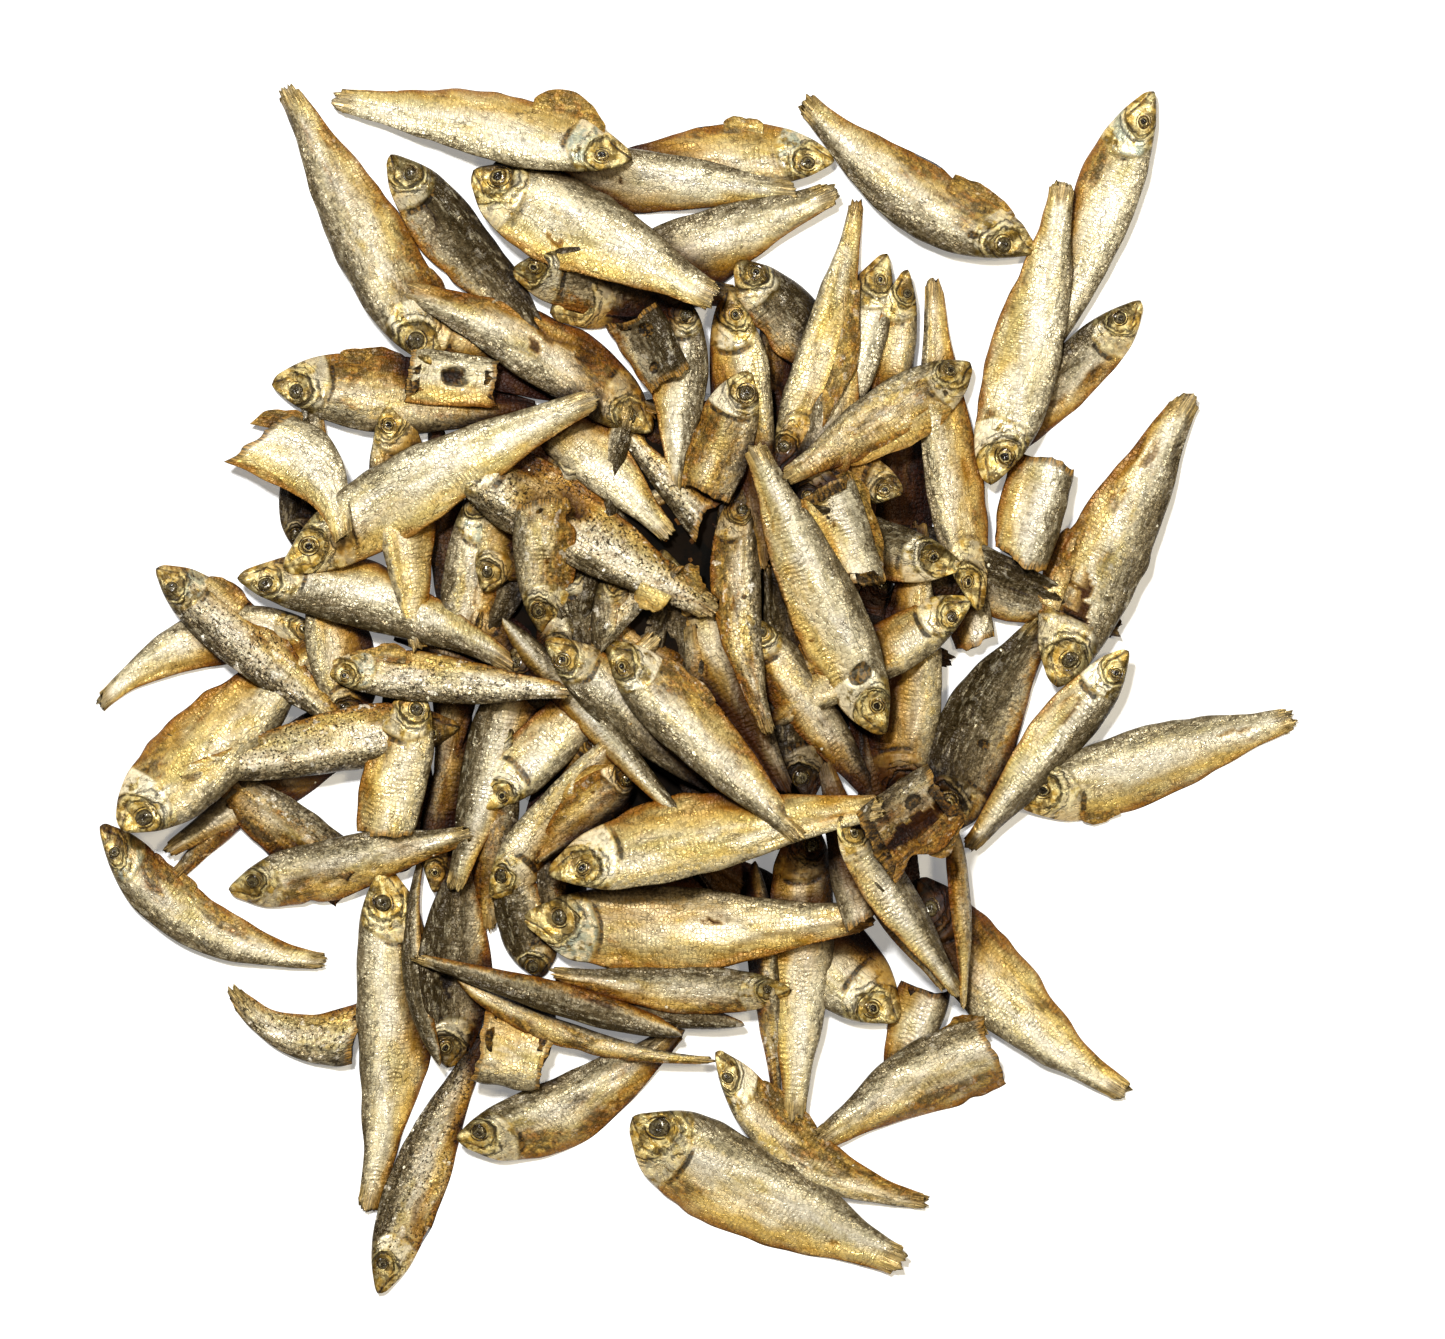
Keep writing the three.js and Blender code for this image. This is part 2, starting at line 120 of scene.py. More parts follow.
# Where each fish lies, from the lowest to the topmost: kind, snout or broken end x and y, tail x and y,
# depth of the body, side on which its back lies (1 left, -1 right, looking from snout to tail), how far
# its middle bends to the left, its skin and its gill cover
FISH = (
    # Lowest, around the rim on the left
    ("whole", -181, -42, -112, -83, 17, -1, -10, "patchy", "blue"),
    ("whole", -110, 15, -182, -6, 18, -1, -10.5, "cream", "gold"),
    ("whole", -112, -5, -159, -58, 13, -1, 0, "brown", "gold"),
    ("whole", -96, -7, -161, -50, 16, -1, 0, "grey", "gold"),
    ("headless", -104, -58, -162, -15, 19, -1, 0, "brown", "gold"),
    ("whole", -173, -43, -114, 14, 29, -1, 0, "gold", "pale"),
    ("whole", -104, -12, -116, 42, 19, 1, 0, "gold", "gold"),
    ("whole", -90, -56, -92, 4, 20, 1, 0, "dark", "gold"),
    ("rear", -101, -104, -142, -91, 21, 1, 8, "speckled", "gold"),
    ("whole", -95.5, -54, -100, -159, 23.5, -1, 5, "cream", "gold"),
    ("whole", -73, -136, -5, -102, 22, 1, -6.5, "patchy", "gold"),
    ("whole", -97, -183, -64, -104, 17, 1, 2.5, "speckled", "pale"),
    ("whole", -76, -115, -72, -46, 22, 1, 0, "dark", "gold"),
    ("narrow", -78, -114, -83, -49, 7, 1, 6, "dark", "gold"),
    ("middle", -68, -105, -42, -111, 27, -1, 0, "gold", "gold"),
    # Lowest, around the rim at the top
    ("whole", -80, 97, -125, 182, 24, 1, 0, "patchy", "pale"),
    ("whole", -93, 161, -42, 98, 19, 1, 0, "dark", "gold"),
    ("whole", -129, 91.5, -47, 83, 23, -1, 0, "bronze", "gold"),
    ("whole", -121, 41, -116, 88, 16, 1, 0, "dark", "gold"),
    ("whole", 41, 159, -40, 154, 20, 1, -3, "gold", "blue"),
    ("whole", -62, 158, 30, 149, 20, 1, 0, "silver", "gold"),
    ("whole", -45, 113, 42, 150, 24, 1, 0, "silver", "gold"),
    ("whole", -56, 126, 12, 118, 20, 1, 0, "dark", "gold"),
    ("whole", 12, 129, 60, 78, 20, 1, 0, "dark", "gold"),
    ("whole", -4, 118, -7, 60, 17, 1, 0, "grey", "gold"),
    # Lowest, around the rim on the right
    ("whole", 101, 131, 31, 178, 22.5, 1, 5.5, "patchy", "brown"),
    ("whole", 137.5, 180, 98, 87, 19, 1, 0, "silver", "blue"),
    ("whole", 133.5, 117, 72, 54, 17, -1, 0, "grey", "gold"),
    ("whole", 30, 20, 77, 8, 15, 1, 0, "brown", "gold"),
    ("whole", 48, 46, 128, 17, 22, 1, 0, "dark", "gold"),
    ("whole", 75, -43, 105, 20, 27, 1, 5, "dark", "gold"),
    ("whole", 96, -34, 181, -9, 24, 1, 0, "cream", "gold"),
    ("middle", 106, 69, 96.5, 37, 20, 1, 0, "silver", "gold"),
    ("whole", 66, -58, 130, -123, 23, -1, -6.5, "cream", "gold"),
    # Lowest, around the rim at the bottom
    ("headless", 69.5, -89, 56, -130, 16, 1, 0, "silver", "gold"),
    ("whole", -20, -129.5, 62, -174, 30, 1, -2, "cream", "gold"),
    ("whole", 60, -101, -6, -45, 25, 1, 0, "silver", "pale"),
    ("narrow", 17, -52, 24, -127, 9, 1, 0, "brown", "gold"),
    ("headless", 90, -108.5, 35.5, -138, 24, -1, -2.5, "patchy", "gold"),
    ("whole", -48, -88, -60, -46, 17, 1, 0, "dark", "gold"),
    ("narrow", 14, -102, -60, -92, 8, 1, 0, "dark", "gold"),
    # Second layer
    ("whole", -65, 65, -78, -35, 18, -1, 0, "patchy", "blue"),
    ("headless", -43, 81, -8, 45, 19, -1, 0, "cream", "gold"),
    ("whole", -52, 15, -74, -62, 18, -1, 0, "grey", "gold"),
    ("whole", -28, -12, -55, -50, 16, 1, 0, "bronze", "gold"),
    ("whole", -63, -63, -20, -10, 17, 1, 0, "gold", "pale"),
    ("whole", -19, -24, -50, -52, 15, 1, 0, "bronze", "pale"),
    ("whole", 61, -38, 66, 50, 22, -1, 0, "gold", "gold"),
    ("whole", 33, -34, 22, 40, 18, 1, 0, "dark", "gold"),
    ("whole", 14, 22, 54, -35, 16, 1, 0, "patchy", "gold"),
    ("whole", 33, -38, 29, -131, 21, 1, 0, "cream", "gold"),
    ("whole", 5, -110, 70, -156, 16.5, -1, -10, "bronze", "pale"),
    ("whole", 39, 68, 58, 118, 17, 1, 0, "gold", "gold"),
    ("whole", 57, 131, 30, 50, 17, 1, 0, "silver", "gold"),
    ("whole", 63, 126, 52, 50, 13, 1, 0, "gold", "gold"),
    ("whole", 61, 58, 10, 75, 18, 1, 0, "bronze", "gold"),
    ("whole", 33, 50, 45, 120, 18, 1, 0, "grey", "gold"),
    ("rear", 3, 49, -26, 81, 14, 1, 0, "speckled", "gold"),
    ("whole", 9, 120, 20, 35, 18, 1, 0, "gold", "pale"),
    ("front", 16, 95, 1, 57, 20, 1, 0, "bronze", "pale"),
    ("middle", -21, 115, -8, 92, 17, 1, 0, "dark", "gold"),
    ("whole", 84, 23, 71, 124, 17, 1, 3, "gold", "gold"),
    ("front", 79, 37, 29, 47, 20, -1, 0, "grey", "pale"),
    ("middle", 38, 62, 50, 30, 16, 1, 0, "cream", "gold"),
    ("whole", 82, 26, 17, -13, 17, 1, 0, "gold", "gold"),
    ("whole", -8, 38, 27, -32, 16, 1, 0, "silver", "pale"),
    ("rear", -10, 40, -44, -3, 15, 1, 0, "speckled", "gold"),
    # Third layer, and the fish that lie across the rim
    ("whole", -65, 29, -45, 85, 18, 1, 0, "gold", "gold"),
    ("whole", -79, 73, 6, 22, 24, -1, 0, "speckled", "pale"),
    ("front", -47, 16, -47, 57, 18, 1, 0, "bronze", "gold"),
    ("whole", -68, 156, 6, 116, 27, 1, 0, "cream", "brown"),
    ("whole", -20, 158.5, -111, 178, 21.5, 1, -1, "cream", "blue"),
    ("whole", -14, 77, -91, 121, 22, 1, -4.5, "patchy", "gold"),
    ("middle", -90, 95, -58, 92, 16, 1, 0, "cream", "gold"),
    ("whole", 23, 64, 48, 148, 15, 1, -3, "gold", "gold"),
    ("whole", 82, 98, 25, 62, 19, -1, 0, "bronze", "gold"),
    ("whole", 88, 61, 110, 153, 23, -1, -2, "silver", "pale"),
    ("whole", 108, 0, 149, 88.5, 27, -1, 3, "patchy", "gold"),
    ("whole", 129.5, 11, 81, -49, 17, 1, 0, "grey", "pale"),
    ("whole", -164, 36, -106, -12, 18, -1, 0, "speckled", "blue"),
    ("whole", -139, 33, -55, 6, 20, -1, 6, "grey", "gold"),
    ("whole", -72, -12, -156, -27, 19, 1, -1.5, "speckled", "pale"),
    ("whole", -142, -61, -68, -44, 18, 1, 0, "patchy", "gold"),
    ("front", -84, 1, -94, -46, 20, 1, 0, "gold", "gold"),
    ("whole", -93, 87, -84, 10, 18, -1, 0, "gold", "gold"),
    ("whole", -125, 36, -30, 87, 23, 1, 3, "cream", "gold"),
    ("headless", -136, 76, -106, 43, 23, 1, 8, "cream", "gold"),
    ("whole", -65, -37, -12, 16, 18, -1, 0, "silver", "pale"),
    ("narrow", -59, 21, 0, -45, 10, 1, 0, "grey", "gold"),
    ("whole", -114, 5, -37, -1, 15, -1, 0, "speckled", "blue"),
    ("narrow", -73, -88, 5, -112.5, 8, 1, -6, "bronze", "gold"),
    ("narrow", -5, -105, -87, -81, 10, 1, 0, "dark", "gold"),
    ("whole", 28, -91, -45, -86, 15, -1, 2, "patchy", "gold"),
    ("whole", -53, -69, 53, -68, 26, 1, -4, "gold", "blue"),
    ("headless", 50, -70, 38, -22, 16, 1, 0, "silver", "gold"),
    # Topmost
    ("narrow", 48, -54, 74, -91, 8, 1, 0, "dark", "gold"),
    ("whole", 42, -38, 79, -93, 14, 1, 0, "grey", "gold"),
    ("narrow", 76, -38, 79.5, -97, 6.5, 1, 1.5, "bronze", "gold"),
    ("middle", 52, -47, 74, -30, 23, 1, 0, "brown", "gold"),
    ("whole", -46, 14, 14, -36, 18.5, -1, 0, "grey", "gold"),
    ("whole", -45, -56, 56, -35, 24, -1, 2, "gold", "pale"),
    ("whole", 13.5, 61, 21, -14, 15, 1, -5, "brown", "gold"),
    ("whole", -28, 13, 31, -45, 20, -1, 0, "patchy", "pale"),
    ("whole", 56, -14, 16, 73, 22.5, -1, 0, "silver", "pale"),
)

# Fish under all the others, which show only through their gaps
LOWEST = (
    ("whole", 62, 30, 61, 110, 17, 1, 0, "bronze", "gold"),
    ("whole", -92, 112, -12, 82, 18, 1, 0, "gold", "gold"),
    ("whole", -70, 8, -80, 82, 15, 1, 0, "brown", "gold"),
    ("whole", -60, -5, -64, -74, 18, 1, 0, "brown", "gold"),
    ("whole", -80, -62, -70, 0, 14, 1, 0, "bronze", "gold"),
    ("whole", 28, 60, 20, 118, 14, 1, 0, "brown", "gold"),
    ("middle", 76, 50, 84, 12, 14, 1, 0, "cream", "gold"),
    ("whole", 56, 38, 48, -30, 14, 1, 0, "bronze", "gold"),
    ("whole", -40, -82, -44, -18, 14, 1, 0, "brown", "gold"),
    ("whole", 62, -78, 50, -5, 16, 1, 0, "patchy", "gold"),
    ("whole", 25, -62, -38, -58, 13, 1, 0, "bronze", "gold"),
)

# Directions and distances in mm in which the heap is looked at for what shades a point
SKY_WAYS = 12
SKY_REACHES = (2.5, 5, 8, 12, 18)

# Fineness of a fish's mesh: sections along it, points over its upper side and points under it
SECTIONS = 102
POINTS_OVER = 27
POINTS_UNDER = 7
HIDDEN_FINENESS = (48, 13, 5)

# Fineness of a flap: sections along it, and points from its root to its free edge
FLAP_SECTIONS = 34
FLAP_POINTS = 8

# Whole fish in one piece, which keeps a piece under 200,000 triangles
PER_PIECE = 22

# Seeds of what is drawn at random, but for the rim of a flake, which takes the number of its points. The
# first four have something of their fish added.
SEEDS = {"fish": 700, "eye place": 3000, "gill slit": 60, "flap": 5000, "eye": 9, "eye turn": 31,
         "core": 5, "hidden": 77, "scales": 4, "crumbs": 6}

# Head, in shares of the whole sprat's length and of the flank from belly (-1) to back (1)
EYE_ALONG = 0.098
EYE_ACROSS = 0.16
GILL_EDGE = 0.215
CHEEK_EDGE = 0.150
HEAD_END = 0.24
SNOUT = 0.022
MOUTH_END = 0.085

# Eye: its hollow as a share of the body's depth, and its ball as a share of the hollow. Then the ball at
# radius 1: the points round it, and the radius and height of its rings from the pupil to the rim.
EYE_RADIUS = 0.215
BALL_RADIUS = 0.66
EYE_AROUND = 24
EYE_PROFILE = ((0.14, 0.30), (0.26, 0.31), (0.36, 0.26), (0.46, 0.27), (0.56, 0.16), (0.66, 0.14),
               (0.76, -0.02), (0.84, -0.06), (0.92, 0.04), (1.00, 0.02), (1.12, -0.30))

# Body: where its tail starts, and between which shares of its length it has loose scales
TAIL_START = 0.93
GLINT_FROM = 0.26
GLINT_TO = 0.85

# In mm: how far a tear reaches into a broken end, the depth at which the dents have their own height, and
# the shortest length that the number of dents is worked out for
TEAR_REACH = 7
USUAL_DEPTH = 20
LEAST_WAVE_RUN = 30

# Place of a point where there is no head or no mouth, far beyond any of their lines
NO_HEAD = 9.0

# How far apart in mm two fish read the patterns of the skin, and a flap from its own fish
PATTERN_STEP = 41.0
FLAP_STEP = 17

# The core's mesh: its rings, the points in each, the rows and columns of its field of lumps, how far in mm
# it lies under the solid's core, and the share of its radius that has crumbs
CORE_RINGS = 60
CORE_AROUND = 150
LUMP_GRID = 90
CORE_DROP = 2.0
CRUMBS_REACH = 0.7

# Hidden fish: how many, the number of the first, how far in mm they are sunk in the core, and their skins
HIDDEN = 22
FIRST_HIDDEN = 300
HIDDEN_SUNK = 3.5
HIDDEN_SKINS = ("dark", "bronze", "brown", "dark", "patchy")

# Floor: its width in metres. Lights: place and size in metres, power in watts and colour, and the strength
# of the even light from all round.
FLOOR_WIDTH = 6.0
LIGHTS = (
    ("key_light", (-0.45, 0.85, 2.0), 0.3, 65.5, (1, 1, 1)),
    ("side_light", (0.9, 0.25, 1.7), 0.4, 14, (1, 0.87, 0.62)),
    ("low_light", (-0.3, -1.2, 1.5), 0.5, 5, (1, 0.85, 0.56)),
)
EVEN_LIGHT = 0.012

# What the skin needs to know at each point, and the kind of value that holds it. Place: shares along and
# across the fish, gill plate, and painted shade in slits, holes, hollow ends and creases. Skin: dark, gold,
# brown, speckles. Marks: torn, blue plate, head, pale plate. Head: places behind and above the eye and
# behind the cheek. Where: place in the patterns. Glint: loose scales. Sky: the share of it that is seen.
SKIN_VALUES = {"place": "FLOAT_COLOR", "skin": "FLOAT_COLOR", "marks": "FLOAT_COLOR",
               "head": "FLOAT_COLOR", "where": "FLOAT_VECTOR", "glint": "FLOAT", "sky": "FLOAT"}

# Holes in the skin: fish, share of what is left of it, place between belly (-1) and back (1), radius in mm
HOLES = (
    (4, 0.05, 0.1, 2.4), (20, 0.42, -0.2, 1.2), (30, 0.40, -0.3, 1.4), (46, 0.35, -0.4, 1.2),
    (25, 0.21, 0.2, 2.0), (60, 0.34, 0.1, 2.2), (60, 0.78, -0.3, 1.8), (73, 0.52, 0.1, 4.2),
    (75, 0.17, -0.45, 0.9), (98, 0.62, 0.2, 2.6), (101, 0.45, 0.2, 1.0), (103, 0.205, 0.2, 4.0),
)

# Flaps of torn skin along an edge: fish, share of what is left of it, edge (-1 belly, 1 back), length and
# width in mm, how far the free edge stands up, and its skin
FLAPS = (
    (0, 0.33, -1, 16, 1.2, 0.6, "patchy"), (15, 0.20, -1, 16, 1.6, 0.8, "bronze"),
    (17, 0.36, -1, 20, 1.8, 1.2, "brown"), (19, 0.33, -1, 12, 2.2, 1.2, "patchy"),
    (25, 0.26, -1, 22, 1.4, 1.0, "bronze"), (31, 0.26, -1, 12, 1.4, 0.8, "bronze"),
    (38, 0.10, 1, 12, 2.4, 1.6, "bronze"), (46, 0.35, -1, 18, 1.6, 1.0, "gold"),
    (51, 0.35, -1, 22, 1.6, 1.0, "bronze"), (63, 0.45, 1, 31, 3.0, 2.5, "bronze"),
    (68, 0.80, 1, 10, 3.5, 2.0, "gold"), (68, 0.88, -1, 9, 4.0, 2.5, "bronze"),
    (71, 0.23, -1, 23, 3.4, 2.2, "gold"), (74, 0.45, -1, 48, 1.8, 1.5, "bronze"),
    (75, 0.45, -1, 36, 2.2, 1.0, "gold"), (77, 0.34, -1, 24, 1.5, 0.8, "patchy"),
    (79, 0.28, -1, 14, 1.6, 1.0, "patchy"), (86, 0.06, 1, 10, 2.6, 1.6, "bronze"),
    (89, 0.22, -1, 17, 2.0, 1.2, "patchy"), (98, 0.70, -1, 16, 3.2, 2.0, "brown"),
    (102, 0.31, -1, 20, 1.4, 0.8, "brown"), (103, 0.29, -1, 15, 2.0, -0.6, "bronze"),
)

# Pieces that have curled up as they dried: how far their edges stand above their middle, in mm
CURLED = {62: 2.5, 63: 5.0, 66: 2.0, 73: 3.0, 86: 2.5, 98: 4.0}


def between(low, high, share):
    return low + (high - low) * share


def smooth_step(low, high, value):
    share = np.clip((value - low) / (high - low), 0, 1)
    return share * share * (3 - 2 * share)


def bump_at(distance, width):
    """A soft bump of height 1 at distance 0, gone at about two widths."""
    return np.exp(-(distance / width) ** 2)


# The pile: the same sums as in the solid, so that every fish comes to rest in the same lie

def section_at(along):
    """Back, belly and half thickness, in shares of the depth, at shares of the whole sprat's length."""
    row = np.clip(np.searchsorted(SPRAT[:, 0], along, side="left"), 1, len(SPRAT) - 1)
    before, after = SPRAT[row - 1], SPRAT[row]
    share = (along - before[..., 0]) / (after[..., 0] - before[..., 0])
    return [between(before[..., column], after[..., column], share) for column in (1, 2, 3)]


def bend_at(share):
    return 4 * share * (1 - share)


class Fish:
    """One fish or piece of a fish, first in plan and then, once it has settled, in its place."""

    def __init__(self, index, kind, from_x, from_y, to_x, to_y, depth, back, bend, skin, gill):
        self.index = index
        self.kind = kind
        self.start, self.end, self.plump = KINDS[kind]
        self.origin = (from_x, from_y)
        step_x, step_y = to_x - from_x, to_y - from_y
        self.length = math.sqrt(step_x * step_x + step_y * step_y)
        self.way = (step_x / self.length, step_y / self.length)
        self.depth = depth
        self.back = back
        self.bend = bend
        self.skin = skin
        self.gill = gill
        self.arch = ((index * 7) % 5 - 2) * ARCH_STEP
        self.balance = (0, 0)
        self.rise = self.tilt = self.height = 0
        self.whole = self.length / (self.end - self.start)
        self.has_head = self.start == 0 and kind != "narrow"
        rng = np.random.default_rng(SEEDS["eye place"] + index)
        self.eye_along = EYE_ALONG + rng.uniform(-0.007, 0.007)
        self.eye_across = EYE_ACROSS + rng.uniform(-0.08, 0.08)
        self.eye_radius = EYE_RADIUS * depth * rng.uniform(0.92, 1.1)

    def body_at(self, share):
        """Back edge, belly edge, ridge and half thickness at shares of what is left of the fish."""
        up, down, half = section_at(between(self.start, self.end, share))
        thick = np.maximum(half * self.depth * self.plump, LEAST_HALF_THICKNESS)
        return up * self.depth, -down * self.depth, RIDGE * self.depth * up, thick

    def place_of(self, share, across):
        """Plan point at a share of the length and a place across the fish, with its run and side."""
        run = share * self.length
        side = self.bend * bend_at(share) + across * self.back
        x = self.origin[0] + self.way[0] * run - self.way[1] * side
        y = self.origin[1] + self.way[1] * run + self.way[0] * side
        return x, y, run, side

    def middle_height(self, share, run, side):
        """Height of its middle plane in its lie, once it has settled."""
        lie = self.rise * (run - self.balance[0]) + self.tilt * (side - self.balance[1])
        return self.height + lie + self.arch * bend_at(share)

    def waves_of(self, length):
        """How many waves of a length in mm it has from end to end."""
        return round(max(self.length, LEAST_WAVE_RUN) / length)


def half_at(across, body):
    """Half thickness of the solid body, 0 at both edges and greatest at the ridge."""
    up, down, ridge, thick = body
    reach = np.where(across > ridge, up - ridge, ridge - down)
    return thick * (1 - np.abs(across - ridge) / reach)


def core_height(x, y):
    right = (x - CORE_CENTRE[0]) / CORE_RADII[0]
    up = (y - CORE_CENTRE[1]) / CORE_RADII[1]
    radius = np.sqrt(right * right + up * up)
    height = np.zeros_like(radius)
    for (inner, high), (outer, low) in zip(CORE, CORE[1:]):
        here = (radius >= inner) & (radius < outer)
        share = (radius - inner) / (outer - inner)
        height = np.where(here, CORE_HEIGHT * between(high, low, share), height)
    return height


def cell_of(value):
    return np.floor((value + HALF_FIELD) / CELL).astype(int)


def stations_of(fish):
    inner = [value for value in SPRAT[:, 0] if fish.start < value < fish.end]
    shares = [(value - fish.start) / (fish.end - fish.start) for value in [fish.start, *inner, fish.end]]
    thirds = [between(near, far, third / 3) for near, far in zip(shares, shares[1:]) for third in (1, 2)]
    return np.array(shares + thirds)


def settle(fish, heights):
    """Lays a fish so that its balance point comes as low as what lies under it allows."""
    share = stations_of(fish)[:, None]
    part = np.array((-1, -0.5, 0, 0.5, 1))[None, :]
    up, down, ridge, thick = (np.broadcast_to(value, (len(share), 5)) for value in fish.body_at(share))
    across = ridge + part * np.where(part > 0, up - ridge, ridge - down)
    x, y, run, side = fish.place_of(share, across)
    under = heights[cell_of(y), cell_of(x)]
    settled = np.where(under > 0, under - PRESS, 0)
    half = half_at(across, (up, down, ridge, thick))
    need = np.maximum(settled, 0) + half - fish.arch * bend_at(share)
    fish.balance = fish.place_of(BALANCE_SHARE, BALANCE_ACROSS * fish.depth)[2:]
    ahead, aside = run - fish.balance[0], side - fish.balance[1]
    best = (0, 0, need.max())
    for step in SEARCH_STEPS:
        rise, tilt = best[:2]
        for i in range(-SEARCH_REACH, SEARCH_REACH + 1):
            for j in range(-SEARCH_REACH, SEARCH_REACH + 1):
                try_rise, try_tilt = rise + i * step, tilt + j * step
                if abs(try_rise) > STEEPEST or abs(try_tilt) > STEEPEST:
                    continue
                height = (need - try_rise * ahead - try_tilt * aside).max()
                if height < best[2] - LEAST_GAIN:
                    best = (try_rise, try_tilt, height)
    fish.rise, fish.tilt, fish.height = best


def cover(fish, heights, middles):
    """Raises the height map to the top of a settled fish."""
    x = middles[None, :] - fish.origin[0]
    y = middles[:, None] - fish.origin[1]
    run = x * fish.way[0] + y * fish.way[1]
    share = run / fish.length
    side = y * fish.way[0] - x * fish.way[1]
    inside = (share > 0) & (share < 1)
    rows, columns = np.nonzero(inside & (np.abs(side) < fish.depth + abs(fish.bend)))
    run, share, side = run[rows, columns], share[rows, columns], side[rows, columns]
    across = (side - fish.bend * bend_at(share)) * fish.back
    body = fish.body_at(share)
    top = fish.middle_height(share, run, side) + half_at(across, body)
    on_it = (across > body[1]) & (across < body[0])
    rows, columns, top = rows[on_it], columns[on_it], top[on_it]
    heights[rows, columns] = np.maximum(heights[rows, columns], top)


def cell_middles():
    """Middles of the height map's cells, along either side of it."""
    return (np.arange(2 * HALF_FIELD // CELL) + 0.5) * CELL - HALF_FIELD


def lay_the_heap():
    """Every fish in its lie, in the order of the tables, and the height map of the finished heap."""
    middles = cell_middles()
    heights = core_height(middles[None, :], middles[:, None])
    lowest = [Fish(len(FISH) + index, *row) for index, row in enumerate(LOWEST)]
    heap = [Fish(index, *row) for index, row in enumerate(FISH)]
    for fish in lowest + heap:
        settle(fish, heights)
        cover(fish, heights, middles)
    return heap + lowest, heights


heap, heap_top = lay_the_heap()


def open_sky(x, y, z):
    """Share of the sky seen from points in the heap, from how high the heap stands around each of them."""
    seen = np.zeros_like(z)
    for angle in np.arange(SKY_WAYS) / SKY_WAYS * 2 * math.pi:
        steepest = np.zeros_like(z)
        for reach in SKY_REACHES:
            column = cell_of(x + reach * math.cos(angle)).clip(0, len(heap_top) - 1)
            row = cell_of(y + reach * math.sin(angle)).clip(0, len(heap_top) - 1)
            steepest = np.maximum(steepest, (heap_top[row, column] - z) / reach)
        seen += 1 / (1 + steepest ** 2)
    return seen / SKY_WAYS


# The dried fish: a grid of points along it and round it, with what its skin needs to know at each point

def spline_weights(place, count):
    """Weights of count + 3 values in a row, at places from 0 to 1, for a smooth curve near them."""
    place = np.clip(place, 0, 1) * count
    first = np.minimum(place.astype(int), count - 1)
    t = place - first
    parts = ((1 - t) ** 3, 3 * t ** 3 - 6 * t ** 2 + 4, -3 * t ** 3 + 3 * t ** 2 + 3 * t + 1, t ** 3)
    weights = np.zeros((len(place), count + 3))
    for step, part in enumerate(parts):
        weights[np.arange(len(place)), first + step] = part / 6
    return weights


def hills(rng, along, across, long_count, wide_count):
    """Smooth random hills over the grid, about 1 high at most."""
    values = rng.normal(size=(long_count + 3, wide_count + 3))
    return spline_weights(along, long_count) @ values @ spline_weights((across + 1) / 2, wide_count).T


def waves(rng, place, count):
    """A smooth random line, about 1 high at most."""
    return spline_weights(place, count) @ rng.normal(size=count + 3) * 1.3


def curve_at(column, along):
    """A smooth curve through one column of the sprat's table."""
    known, values = SPRAT[:, 0], SPRAT[:, column]
    slope = np.gradient(values, known)
    slope[-2:] = (0.7 * slope[-2], 0)
    row = np.clip(np.searchsorted(known, along) - 1, 0, len(known) - 2)
    width = known[row + 1] - known[row]
    t = np.clip((along - known[row]) / width, 0, 1)
    start = values[row] * (1 + 2 * t) * (1 - t) ** 2 + width * slope[row] * t * (1 - t) ** 2
    end = values[row + 1] * t * t * (3 - 2 * t) + width * slope[row + 1] * t * t * (t - 1)
    return start + end


def sections_along(fish, count):
    """Shares of what is left of the fish, closer together over its head."""
    if not fish.has_head:
        return np.linspace(0, 1, count)
    head = HEAD_END / fish.end
    over_head = round(count * max(0.45, head))
    return np.concatenate((np.linspace(0, head, over_head, endpoint=False),
                           np.linspace(head, 1, count - over_head)))


def places_round(over, under):
    """Places across the fish, from its back (1) over its upper side to its belly (-1), and back below."""
    t = np.linspace(0, 1, over)
    upper = 0.5 * np.cos(math.pi * t) + 0.5 * (1 - 2 * t)
    lower = -np.cos(math.pi * np.linspace(0, 1, under + 2)[1:-1])
    return np.concatenate((upper, lower)), np.concatenate((np.ones(over), -np.ones(under)))


